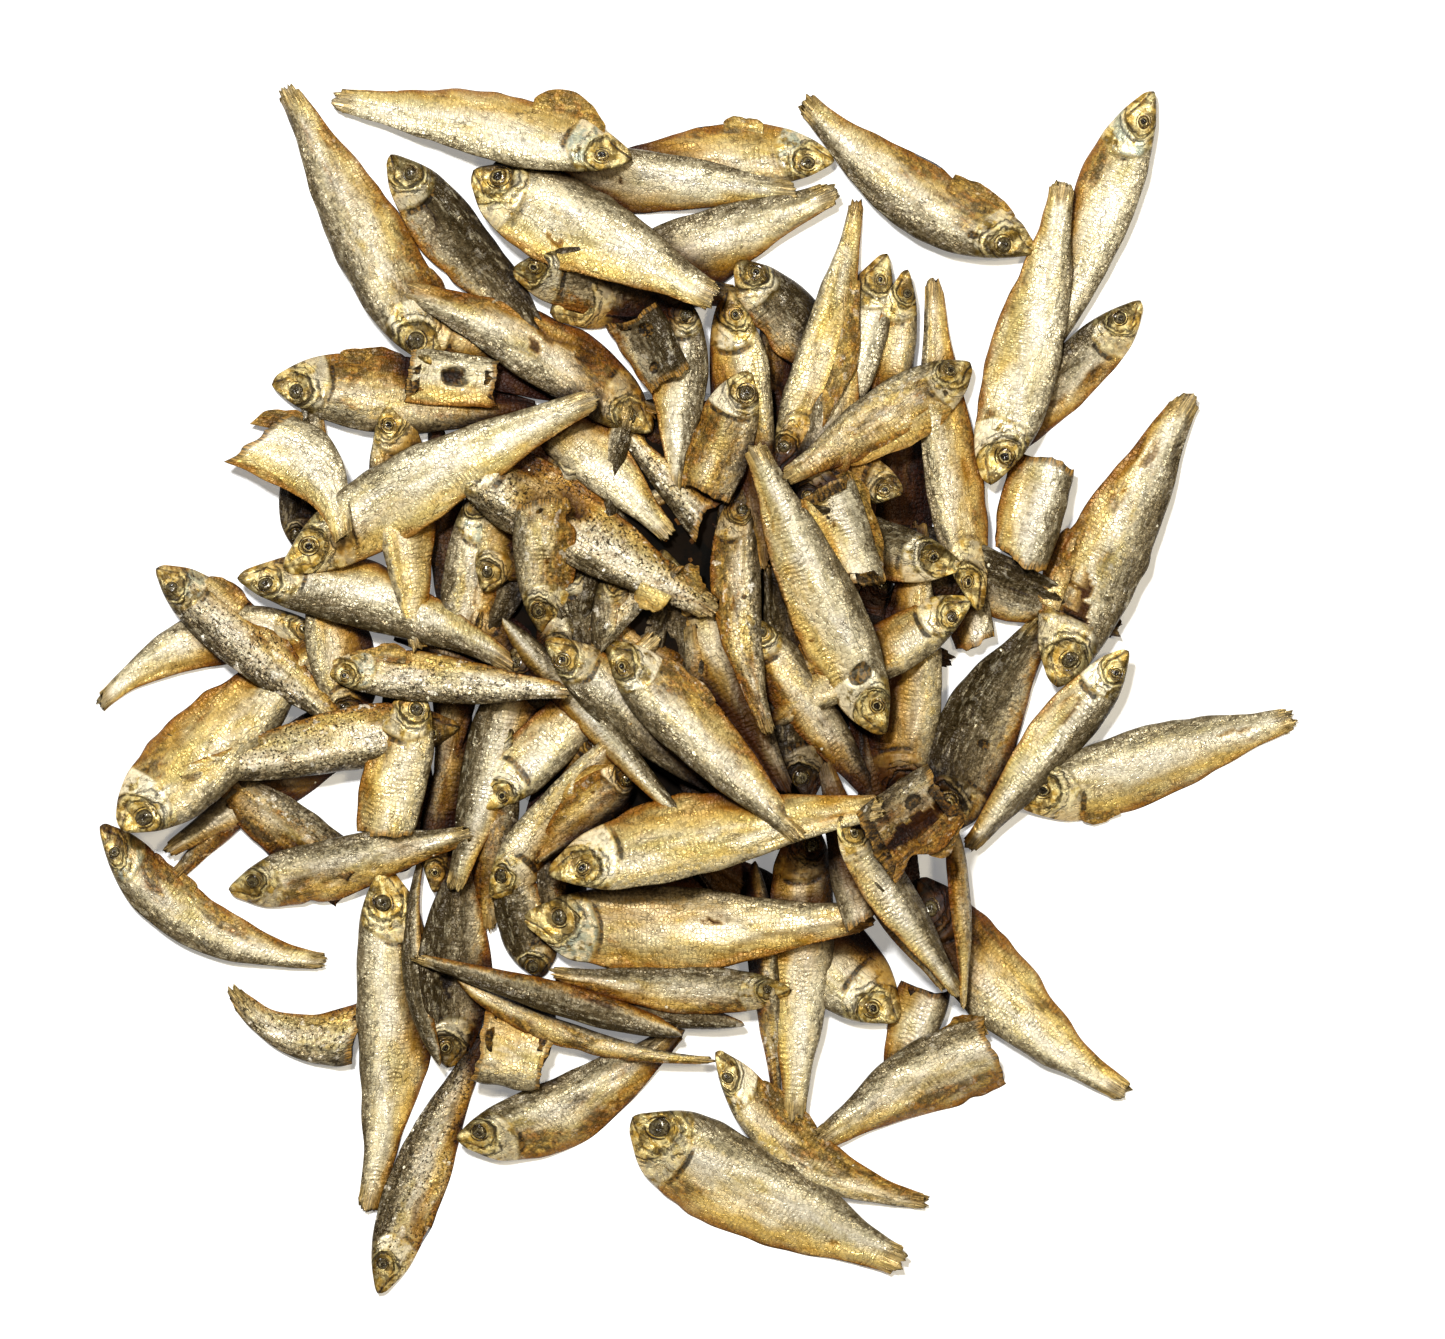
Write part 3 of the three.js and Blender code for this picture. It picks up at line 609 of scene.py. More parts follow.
def head_relief(fish, along, across, half_depth, uneven):
    """Head relief in mm, painted shade of gill slit and mouth, bright plate, and places for its finer
    lines.
    """
    gape = GILLS[fish.gill][2]
    rng = np.random.default_rng(SEEDS["gill slit"] + fish.index)
    slit_top, slit_shade = rng.uniform(-0.4, 0.9), rng.uniform(0.45, 1.0)

    # How far in mm a point lies behind the edge of the gill cover, behind the cheek and from the mouth
    gill = (along - GILL_EDGE + 0.045 * (across + 0.15) ** 2) * fish.whole + uneven
    cheek = (along - CHEEK_EDGE + 0.07 * (across - 0.1) ** 2) * fish.whole + uneven
    mouth_line = (across + 0.25 + 4.5 * along) * half_depth + 0.4 * uneven
    mouth = np.where(along < MOUTH_END, mouth_line, NO_HEAD)

    # How far it lies behind and above the middle of the eye, in the eye's radii
    behind = (along - fish.eye_along) * fish.whole / fish.eye_radius
    above = (across - fish.eye_across) * half_depth / fish.eye_radius
    eye = np.hypot(behind, above)
    rear = smooth_step(-0.4, 0.6, (behind - 0.5 * above) / (eye + 0.1))

    opening = bump_at(np.maximum(np.abs(gill - gape) - gape + 0.8, 0), 0.8)
    opening = opening * smooth_step(-1.0, -0.6, across)
    opening = opening * (1 - smooth_step(slit_top - 0.4, slit_top, across))
    lips = bump_at(mouth, 0.4)
    relief = 0.75 * smooth_step(-12, -2, gill) * (1 - smooth_step(-0.7, 0.3, gill))
    relief = relief - 0.7 * opening - 0.4 * lips
    relief = relief - 0.3 * bump_at(cheek, 0.6) + 0.3 * bump_at(cheek + 1.6, 0.8)
    relief = relief - 0.75 * (1 - smooth_step(0.6, 1.05, eye))
    relief = relief + rear * (0.45 * bump_at(eye - 1.25, 0.16) + 0.3 * bump_at(eye - 1.7, 0.18))
    # Painted shade in the gill slit and in the mouth
    dark = np.maximum(slit_shade * opening, 0.75 * lips)
    plate = smooth_step(0.2, 1.2, cheek) * (1 - smooth_step(-0.5, 0.1, gill))
    plate = plate * (1 - smooth_step(0.45, 0.75, across))
    before_gill = 1 - smooth_step(-0.4, 0.8, gill)
    return relief, dark, plate, before_gill, (behind, above, cheek, 1.0)


def torn_line(rng, u):
    """How far in mm a torn end runs in at places across it: a slow wave with small nicks."""
    knots = rng.uniform(-1, 1, 15).cumsum() * 0.3
    nicks = np.interp(u, np.linspace(-1, 1, 15), knots + rng.uniform(0, 1.1, 15))
    return nicks + 1.2 * waves(rng, (u + 1) / 2, 3) + 0.8


def sunken_pockets(rng, along, u):
    """Oval places where the skin has fallen in (1), and their sharp rims (1)."""
    fallen = np.zeros((len(along), len(u)))
    rims = np.zeros_like(fallen)
    for _ in range(rng.integers(2, 5)):
        at, place = rng.uniform(0.28, 0.72), rng.uniform(-0.7, 0.5)
        longish, widish = rng.uniform(0.05, 0.12), rng.uniform(0.22, 0.5)
        slant = rng.uniform(-0.8, 0.8)
        off = np.hypot((along[:, None] - at) / longish + slant * (u - place), (u - place) / widish)
        off = off + 0.10 * waves(rng, along, 12)[:, None]
        fallen = np.maximum(fallen, (1 - smooth_step(0.55, 1.0, off)) * rng.uniform(0.4, 1.0))
        rims = np.maximum(rims, bump_at(off - 1.0, 0.09))
    return fallen, rims


def outline_of(fish, rng, share, along):
    """Back edge, belly edge and half thickness in mm, and how far the belly is notched.

    Both edges are uneven, the snout is blunt and the tail spreads a little.
    """
    brown = SKINS[fish.skin][2]
    snout = np.ones(len(along))
    if fish.start == 0:
        snout = np.sqrt(1 - (1 - np.clip(along / SNOUT, 0, 1)) ** 2)
    spread = 1 + 0.10 * smooth_step(TAIL_START, 1, along)
    coarse, fine = fish.waves_of(14), fish.waves_of(4)
    ragged = 0.02 if fish.kind == "narrow" else 0.045
    back_edge = 1 + ragged * waves(rng, share, coarse) + 0.018 * waves(rng, share, fine)
    belly_edge = 1 + ragged * waves(rng, share, coarse) + 0.025 * waves(rng, share, fine)
    notch_at, notch_width = rng.uniform(0.28, 0.52), rng.uniform(0.02, 0.05)
    notch = bump_at(along - notch_at, notch_width) * np.clip(brown * rng.uniform(0, 0.8) - 0.2, 0, 0.3)
    up = curve_at(1, along) * fish.depth * spread * snout * back_edge
    down = -curve_at(2, along) * fish.depth * spread * snout * belly_edge * (1 - notch)
    thick = np.maximum(curve_at(3, along) * fish.depth * fish.plump, LEAST_HALF_THICKNESS) * snout
    return up, down, thick, notch


def cross_section(u, side_up, up, down, thick):
    """Places across a fish and out of it in mm: rounded towards the back, drawn out to a thin belly."""
    ridge = RIDGE * up
    shape = np.where(u > 0, (1 - np.abs(u) ** 2.6) ** 0.75, (1 - np.abs(u) ** 1.7) ** 0.95)
    across = np.where(u > 0, ridge[:, None] + u * (up - ridge)[:, None],
                      ridge[:, None] - u * (down - ridge)[:, None])
    return across, side_up * shape * thick[:, None]


def within_edges(u):
    """1 in the middle of the flank and 0 at the edges of the back and the belly."""
    return np.sqrt(np.clip(1 - u ** 2, 0, 1))


def dried_relief(fish, rng, share, along, u, thick):
    """Relief of the dried skin in mm: dents, creases, wrinkles, sunken places; and painted shade in its
    creases.
    """
    crumple = SKINS[fish.skin][5]
    inside = within_edges(u)
    dents = hills(rng, share, u, fish.waves_of(11), 3) * 1.4
    creases = (0.3 - np.abs(hills(rng, share, u, fish.waves_of(18), 6))) * 1.1
    creases = creases - (0.3 - np.abs(hills(rng, share, u, fish.waves_of(9), 4))) * 0.9
    wrinkles = hills(rng, share, u, fish.waves_of(3.4), 9) * 0.26
    scale_of_it = crumple * fish.depth / USUAL_DEPTH
    body_part = smooth_step(0.16, 0.26, along)[:, None] * 0.7 + 0.3
    relief = (dents + creases + wrinkles) * scale_of_it * inside * body_part
    belly = smooth_step(0.2, 0.28, along) * (1 - smooth_step(0.42, 0.62, along))
    sunken = rng.uniform(0.1, 0.5) * crumple * belly[:, None] * bump_at(u + 0.42, 0.34)
    middle_line = 0.10 * bump_at(u - 0.05, 0.10) * smooth_step(0.3, 0.45, along)[:, None]
    relief = relief - (sunken + middle_line) * thick[:, None]
    fallen, rims = sunken_pockets(rng, along, u)
    relief = relief + (0.3 * rims - 0.9 * fallen) * scale_of_it * inside
    # Painted shade in the creases and along the rims of the sunken places
    crease_shade = np.clip(-(creases + wrinkles) - 0.3, 0, 1) * inside * body_part * 0.5
    return relief, np.maximum(crease_shade, 0.5 * rims * inside)


def with_holes(fish, rng, share, u, half_depth, relief, openings_and_shade):
    """The relief and painted shade of a fish, with its holes in both: sunk, and painted dark as their
    shade.
    """
    for index, at, place, radius in HOLES:
        if index == fish.index:
            off = np.hypot((share[:, None] - at) * fish.length, (u - place) * half_depth)
            off = off + hills(rng, share, u, fish.waves_of(3), 8) * 0.55 * radius
            openings_and_shade = np.maximum(openings_and_shade, 1 - smooth_step(0.6 * radius, 1.1 * radius, off))
            relief = relief - 1.6 * (1 - smooth_step(0.5 * radius, radius, off))
            relief = relief + 0.5 * bump_at(off - 1.2 * radius, 0.7)
    return relief, openings_and_shade


def ragged_ends(fish, rng, share, along, u, notch):
    """How far in mm points move along a fish at its frayed, rounded tail or torn ends, and what is torn."""
    tail_fray = np.interp(u, np.linspace(-1, 1, 22), rng.uniform(-2.4, 0.8, 22))
    corners = 0.03 * fish.whole * smooth_step(0.45, 1, np.abs(u))
    torn = np.clip(notch[:, None] * 5, 0, 1) * smooth_step(-0.55, -0.95, u)
    shift = np.zeros_like(torn)
    run = share * fish.length
    torn_ends = []
    if fish.end == 1:
        shift += ((along - TAIL_START).clip(0) / 0.07)[:, None] ** 2 * (tail_fray - corners)
    else:
        torn_ends.append((-1, smooth_step(fish.length - TEAR_REACH, fish.length, run)))
    if fish.start > 0:
        torn_ends.append((1, 1 - smooth_step(0, TEAR_REACH, run)))
    for inward, near in torn_ends:
        shift += near[:, None] * (inward * torn_line(rng, u))
        torn = np.maximum(torn, smooth_step(0.6, 1.0, near[:, None]) * np.ones_like(u))
    return shift, torn


def hollow_end(fish, share, across, out, values, at, inward):
    """Two rings inside a broken end, from its edge inwards, with painted shade that is darkest deeper in.
    """
    rings = []
    for depth_in, size in ((3.5, 0.62), (1.0, 0.80)):
        middle_across, middle_out = across.mean(), out.mean()
        ring_share = share.mean() + inward * depth_in / fish.length + (share - share.mean()) * 0.6
        rings.append((ring_share, between(middle_across, across, size), between(middle_out, out, size)))
    order = rings if inward > 0 else rings[::-1]
    stacked = [np.stack([ring[part] for ring in order]) for part in range(3)]
    deep = np.array((1.0, 0.55) if inward > 0 else (0.55, 1.0))[:, None]
    place_along, place_across, *_ = values["place"]
    _, blue, _, pale = values["marks"]
    inner = {"place": (place_along[at], place_across[at], 0.0, deep), "skin": values["skin"],
             "marks": (1.0, blue, 0.0, pale), "head": (NO_HEAD,) * 4}
    return (*stacked, inner)


def joined_values(rings):
    """The skin's groups of four values at every point of rings (share, across, out, values)."""
    joined = {}
    for name in rings[0][3]:
        parts = []
        for channel in range(4):
            columns = [np.broadcast_to(ring[3][name][channel], ring[0].shape) for ring in rings]
            parts.append(np.concatenate(columns))
        joined[name] = np.stack(parts, axis=-1)
    return joined


def pattern_place(run, across, shift):
    """Where each point reads the skin's patterns, a shift away from those of other pieces."""
    return np.stack((run, across, np.full_like(run, shift)), axis=-1)


def dried_fish(fish, sections, over, under):
    """Points, faces and skin values of one fish, in millimetres."""
    rng = np.random.default_rng(SEEDS["fish"] + fish.index)
    dark, gold, brown, speckle, glint, crumple = SKINS[fish.skin]
    pale, blue, _ = GILLS[fish.gill]
    share = sections_along(fish, sections)
    u, side_up = places_round(over, under)
    along = between(fish.start, fish.end, share)
    up, down, thick, notch = outline_of(fish, rng, share, along)
    half_depth = ((up - down) / 2)[:, None]
    across, out = cross_section(u, side_up, up, down, thick)
    relief, crease_shade = dried_relief(fish, rng, share, along, u, thick)

    openings_and_shade, plate, before_gill = np.zeros((3, *out.shape))
    head_places = (NO_HEAD,) * 4
    if fish.has_head:
        uneven = hills(rng, share, u, 40, 5) * 0.5
        head, openings_and_shade, plate, before_gill, head_places = head_relief(
            fish, along[:, None], np.broadcast_to(u, out.shape), half_depth, uneven)
        head = head * within_edges(u) * fish.depth / USUAL_DEPTH
        relief = relief * (1 - 0.5 * before_gill) + head
    relief, openings_and_shade = with_holes(fish, rng, share, u, half_depth, relief, openings_and_shade)
    sway = hills(rng, share, u, 4, 1) * 0.7 * crumple
    out = out + side_up * relief + sway + CURLED.get(fish.index, 0) * (u * u - 0.35)
    shift, torn = ragged_ends(fish, rng, share, along, u, notch)
    share_of = np.broadcast_to(share[:, None], out.shape) + shift / fish.length
    own = rng.uniform(-0.06, 0.06, 4)
    # The place's last value is painted shade in the slits, holes and creases
    values = {
        "place": (np.broadcast_to(along[:, None], out.shape), np.broadcast_to((u + 1) / 2, out.shape),
                  plate, np.maximum(openings_and_shade, 0.5 * crease_shade)),
        "skin": (dark + own[0], gold + own[1], brown + own[2], speckle + own[3]),
        "marks": (torn, blue, before_gill, pale),
        "head": head_places,
    }

    # Broken ends are hollow: the edge turns in and goes a little way down inside, painted dark as its shade
    rings = [(share_of, across, out, values)]
    if fish.start > 0:
        rings.insert(0, hollow_end(fish, share_of[0], across[0], out[0], values, 0, 1))
    if fish.end < 1:
        rings.append(hollow_end(fish, share_of[-1], across[-1], out[-1], values, -1, -1))
    share_of, across, out = (np.concatenate([ring[part] for ring in rings]) for part in range(3))

    # In its lie. The sky is looked for from the plain body, so that a dent isn't shaded by its own rim.
    x, y, run, side = fish.place_of(share_of, across)
    lie = fish.middle_height(share_of, run, side)
    plain_out = half_at(across, fish.body_at(share_of.clip(0, 1)))
    sky = open_sky(x, y, lie + np.where(out > 0, np.maximum(out, plain_out), out))
    shine = np.zeros_like(out)
    if len(rings) == 1:
        shine += glint * (side_up > 0) * (along > GLINT_FROM)[:, None] * (along < GLINT_TO)[:, None]
    return {"points": np.stack((x, y, (lie + out).clip(0, None)), axis=-1),
            "faces": grid_faces(len(out), len(u), fish.back > 0),
            "where": pattern_place(run, across, PATTERN_STEP * fish.index),
            "glint": shine[..., None], "sky": sky[..., None], **joined_values(rings),
            "along": along, "u": u}


def torn_flap(fish, at, edge, length, width, lift, skin):
    """A thin ragged flap of skin that stands off one edge of a fish."""
    rng = np.random.default_rng(SEEDS["flap"] + 10 * fish.index + round(100 * at))
    dark, gold, brown, speckle, *_ = SKINS[skin]
    along = np.linspace(-1, 1, FLAP_SECTIONS)
    out_share = np.concatenate((np.linspace(0, 1, FLAP_POINTS), np.linspace(1, 0, FLAP_POINTS)))
    side_up = np.repeat((1.0, -1.0), FLAP_POINTS)
    ragged = 1 + 0.30 * waves(rng, (along + 1) / 2, 5) + 0.08 * waves(rng, (along + 1) / 2, 14)
    reach = width * (1 - np.abs(along) ** 2.2).clip(0) ** 0.7 * ragged.clip(0.2, 1.6) + 0.3
    share = (at + along * length / 2 / fish.length)[:, None] + np.zeros_like(out_share)
    body = fish.body_at(share[:, 0].clip(0.001, 0.999))
    edge_line = body[0] if edge > 0 else body[1]
    overlap = 0.25 * abs(body[0] - body[1])
    across = edge_line[:, None] + edge * ((reach + overlap)[:, None] * out_share - overlap[:, None])
    curl = waves(rng, (along + 1) / 2, 4)[:, None] * 0.5
    thick = side_up * 0.28 * (1 - out_share ** 6)
    out = (lift + curl) * out_share ** 2 + thick + 0.6 * (1 - out_share)
    x, y, run, side = fish.place_of(share, across)
    z = (fish.middle_height(share, run, side) + out).clip(0, None)
    tear = smooth_step(0.75, 1.0, out_share) * 0.8
    values = {"place": (0.5, 0.35 - 0.2 * out_share, 0.0, 0.0),
              "skin": (dark - 0.2, gold, brown + 0.3, speckle),
              "marks": (tear, 0.0, 0.0, 0.0), "head": (NO_HEAD,) * 4}
    return {"points": np.stack((x, y, z), axis=-1),
            "faces": grid_faces(len(along), len(out_share), fish.back * edge < 0),
            "where": pattern_place(run, across, PATTERN_STEP * fish.index + FLAP_STEP),
            "glint": np.zeros((*z.shape, 1)), "sky": open_sky(x, y, z)[..., None],
            **joined_values([(share, across, out, values)])}


def grid_faces(rings, round_count, back_left):
    """Faces of a closed tube of rings; the two end points follow the grid's points."""
    ring = np.arange(rings - 1)[:, None] * round_count
    here = np.arange(round_count)[None, :]
    beside = (here + 1) % round_count
    quads = np.stack((ring + here, ring + beside, ring + round_count + beside,
                      ring + round_count + here), axis=-1).reshape(-1, 4)
    first, last = rings * round_count, rings * round_count + 1
    here = here.ravel()
    beside = beside.ravel()
    end_ring = (rings - 1) * round_count
    start_fan = np.stack((np.full(round_count, first), beside, here), axis=-1)
    end_fan = np.stack((np.full(round_count, last), end_ring + here, end_ring + beside), axis=-1)
    fans = np.concatenate((start_fan, end_fan))
    if not back_left:
        quads, fans = quads[:, ::-1], fans[:, ::-1]
    return quads, fans


def closed(grid):
    """Values of a grid of rings in a row, then those of the end points: the means of both end rings."""
    grid = np.ascontiguousarray(grid)
    rows = grid.reshape(-1, grid.shape[-1])
    return np.concatenate((rows, grid[:1].mean(axis=1), grid[-1:].mean(axis=1)))


def add_values(mesh, name, kind, values):
    """Gives every point of a mesh a number, a vector or a colour of its own, under a name."""
    field = {"FLOAT": "value", "FLOAT_VECTOR": "vector", "FLOAT_COLOR": "color"}[kind]
    layer = mesh.attributes.new(name, kind, "POINT")
    layer.data.foreach_set(field, np.asarray(values, np.float32).ravel())


def link(name, data):
    made = bpy.data.objects.new(name, data)
    bpy.context.scene.collection.objects.link(made)
    return made


def smooth_object(name, points, faces, values):
    """A smooth mesh object from its points and faces, with values (name, kind, values) for its points."""
    mesh = bpy.data.meshes.new(name)
    mesh.from_pydata(points, [], faces)
    for title, kind, held in values:
        add_values(mesh, title, kind, held)
    mesh.shade_smooth()
    return link(name, mesh)


def join_fish(name, shapes):
    """One mesh object of several fish."""
    points, faces = [], []
    start = 0
    for shape in shapes:
        points.append(closed(shape["points"]))
        for part in shape["faces"]:
            faces += (part + start).tolist()
        start += len(points[-1])
    values = [(title, kind, np.concatenate([closed(shape[title]) for shape in shapes]))
              for title, kind in SKIN_VALUES.items()]
    return smooth_object(name, (np.concatenate(points) * MM).tolist(), faces, values)


# Shader helpers

def add(tree, kind, inputs=None, **settings):
    """A new node with its settings, and with each named input given a value or a link."""
    made = tree.nodes.new(kind)
    for name, value in settings.items():
        setattr(made, name, value)
    for name, value in (inputs or {}).items():
        if isinstance(value, bpy.types.NodeSocket):
            tree.links.new(value, made.inputs[name])
        else:
            made.inputs[name].default_value = value
    return made


def sum_of(tree, operation, first, second=0.0, third=0.0):
    made = add(tree, "ShaderNodeMath", {0: first, 1: second, 2: third}, operation=operation)
    return made.outputs[0]


def step_up(tree, value, low, high):
    """0 below low and 1 above high, smooth between them."""
    return add(tree, "ShaderNodeMapRange", {"Value": value, "From Min": low, "From Max": high},
               interpolation_type="SMOOTHSTEP").outputs[0]


def scaled(tree, place, scale):
    """A place times a number."""
    return add(tree, "ShaderNodeVectorMath", {0: place, "Scale": scale}, operation="SCALE").outputs[0]


def mixed(tree, share, first, second, how="MIX"):
    made = add(tree, "ShaderNodeMix", {0: share, 6: first, 7: second}, data_type="RGBA", blend_type=how)
    return made.outputs[2]


def rgb(red, green, blue):
    """A colour given as it looks, from 0 to 255, turned into linear light."""
    linear = [((value / 255 + 0.055) / 1.055) ** 2.4 for value in (red, green, blue)]
    return (*linear, 1)


def add_inputs(group, inputs):
    """Gives a group its named inputs (name, kind, value), and returns the identifier of each."""
    identifiers = {}
    for title, kind, value in inputs:
        socket = group.interface.new_socket(title, in_out="INPUT", socket_type="NodeSocket" + kind)
        if value is not None:
            socket.default_value = value
        identifiers[title] = socket.identifier
    return identifiers


def group_with(name, inputs, outputs):
    """An empty shader group with named inputs (name, kind, value) and outputs (name, kind)."""
    group = bpy.data.node_groups.new(name, "ShaderNodeTree")
    add_inputs(group, inputs)
    for title, kind in outputs:
        group.interface.new_socket(title, in_out="OUTPUT", socket_type="NodeSocket" + kind)
    return group, group.nodes.new("NodeGroupInput").outputs, group.nodes.new("NodeGroupOutput").inputs


def blotches_group():
    """Patches of a given size in millimetres, along and across, as a mask, and the noise behind them."""
    group, given, result = group_with(
        "Blotches",
        (("Place", "Vector", None), ("Along", "Float", 8.0), ("Across", "Float", 4.0),
         ("Detail", "Float", 3.0), ("Low", "Float", 0.45), ("High", "Float", 0.6)),
        (("Mask", "Float"), ("Grain", "Float")))
    along = sum_of(group, "DIVIDE", 1.0, given["Along"])
    across = sum_of(group, "DIVIDE", 1.0, given["Across"])
    scale = add(group, "ShaderNodeCombineXYZ", {0: along, 1: across, 2: across}).outputs[0]
    place = add(group, "ShaderNodeVectorMath", {0: given["Place"], 1: scale},
                operation="MULTIPLY").outputs[0]
    noise = add(group, "ShaderNodeTexNoise", {"Vector": place, "Scale": 1.0, "Detail": given["Detail"],
                                              "Roughness": 0.6}).outputs[0]
    group.links.new(step_up(group, noise, given["Low"], given["High"]), result["Mask"])
    group.links.new(noise, result["Grain"])
    return group


def scales_group():
    """A net of small fish scales: their edges, a different value for each, and a height for bump."""
    group, given, result = group_with(
        "Fish scales",
        (("Place", "Vector", None), ("Size", "Float", 1.7)),
        (("Edge", "Float"), ("Each", "Float"), ("Height", "Float")))
    place = scaled(group, given["Place"], sum_of(group, "DIVIDE", 1.0, given["Size"]))
    net = {"Vector": place, "Scale": 1.0, "Randomness": 0.75}
    cells = add(group, "ShaderNodeTexVoronoi", net)
    edges = add(group, "ShaderNodeTexVoronoi", net, feature="DISTANCE_TO_EDGE").outputs[0]
    each = add(group, "ShaderNodeSeparateColor", {0: cells.outputs["Color"]}).outputs[0]
    edge = sum_of(group, "SUBTRACT", 1.0, step_up(group, edges, 0.0, 0.12))
    raised = sum_of(group, "MULTIPLY", each, 0.6)
    height = sum_of(group, "SUBTRACT", raised, sum_of(group, "MULTIPLY", edge, 0.5))
    group.links.new(edge, result["Edge"])
    group.links.new(each, result["Each"])
    group.links.new(height, result["Height"])
    return group


BLOTCHES = blotches_group()
SCALES = scales_group()


def blotches(tree, place, along, across, low, high, detail=3.0, output="Mask"):
    """Patches from the shared group: their sizes in mm, and the noise at which they start and are full."""
    inputs = {"Place": place, "Along": along, "Across": across, "Low": low, "High": high, "Detail": detail}
    return add(tree, "ShaderNodeGroup", inputs, node_tree=BLOTCHES).outputs[output]


def new_material(name):
    material = bpy.data.materials.new(name)
    material.use_nodes = True
    tree = material.node_tree
    tree.nodes.clear()
    shader = tree.nodes.new("ShaderNodeBsdfPrincipled")
    output = tree.nodes.new("ShaderNodeOutputMaterial")
    tree.links.new(shader.outputs[0], output.inputs[0])
    return material, tree, shader


def attribute(tree, name):
    return add(tree, "ShaderNodeAttribute", attribute_name=name)


def channels(tree, name):
    """The four values of a colour attribute."""
    held = attribute(tree, name)
    parts = add(tree, "ShaderNodeSeparateColor", {0: held.outputs["Color"]}).outputs
    return parts[0], parts[1], parts[2], held.outputs["Alpha"]


def place_in_mm(tree):
    """Where a point of a piece lies, in millimetres, for the patterns of all but the skin."""
    return scaled(tree, add(tree, "ShaderNodeTexCoord").outputs["Object"], 1 / MM)


# Colours of the dried skin
CREAM = rgb(250, 239, 200)
PEARL = rgb(255, 250, 233)
SILVER = rgb(220, 214, 180)
PALE_GOLD = rgb(228, 200, 116)
DEEP_GOLD = rgb(180, 138, 46)
GREENISH = rgb(206, 198, 142)
SHEEN = rgb(196, 187, 157)
GREY = rgb(112, 99, 72)
BACK = rgb(46, 36, 14)
ORANGE_BROWN = rgb(156, 104, 30)
AMBER = rgb(194, 158, 74)
# Painted shade: a warmer tint where less sky is seen, and a deep brown where still less is seen
WARM_SHADE = rgb(216, 180, 106)
SHADED = rgb(80, 54, 10)
DARK_BROWN = rgb(62, 45, 9)
SPECKLE = rgb(38, 26, 4)
HEAD_GOLD = rgb(196, 162, 72)
HEAD_PALE = rgb(246, 229, 162)
HEAD_OLIVE = rgb(92, 72, 20)
PLATE_PALE = rgb(252, 243, 211)
PLATE_BLUE = rgb(176, 188, 174)
TAIL = rgb(196, 168, 104)
FLESH = rgb(164, 122, 52)
# Near black: painted shade in folds, slits, holes and hollow ends, and the dark pits of the eye
DEEP = rgb(18, 10, 2)
GRAIN_SHADE = rgb(140, 106, 40)
WHITE = rgb(255, 255, 255)

# An eye from its middle to its rim: place, red, green and blue of each ring, when clear and when clouded
# The near-black rings lie in the groove round the ball: partly its own dark and partly painted shade
CLEAR_EYE = ((0.0, 24, 19, 11), (0.34, 36, 29, 16), (0.42, 206, 186, 126), (0.52, 120, 94, 42),
             (0.60, 50, 34, 12), (0.70, 150, 122, 62), (0.80, 20, 12, 4), (0.90, 36, 24, 9),
             (1.0, 130, 102, 48))
CLOUDED_EYE = ((0.0, 38, 34, 24), (0.22, 58, 52, 36), (0.44, 116, 106, 76), (0.62, 80, 68, 40),
               (0.76, 18, 11, 4), (0.90, 34, 23, 9), (1.0, 126, 100, 48))


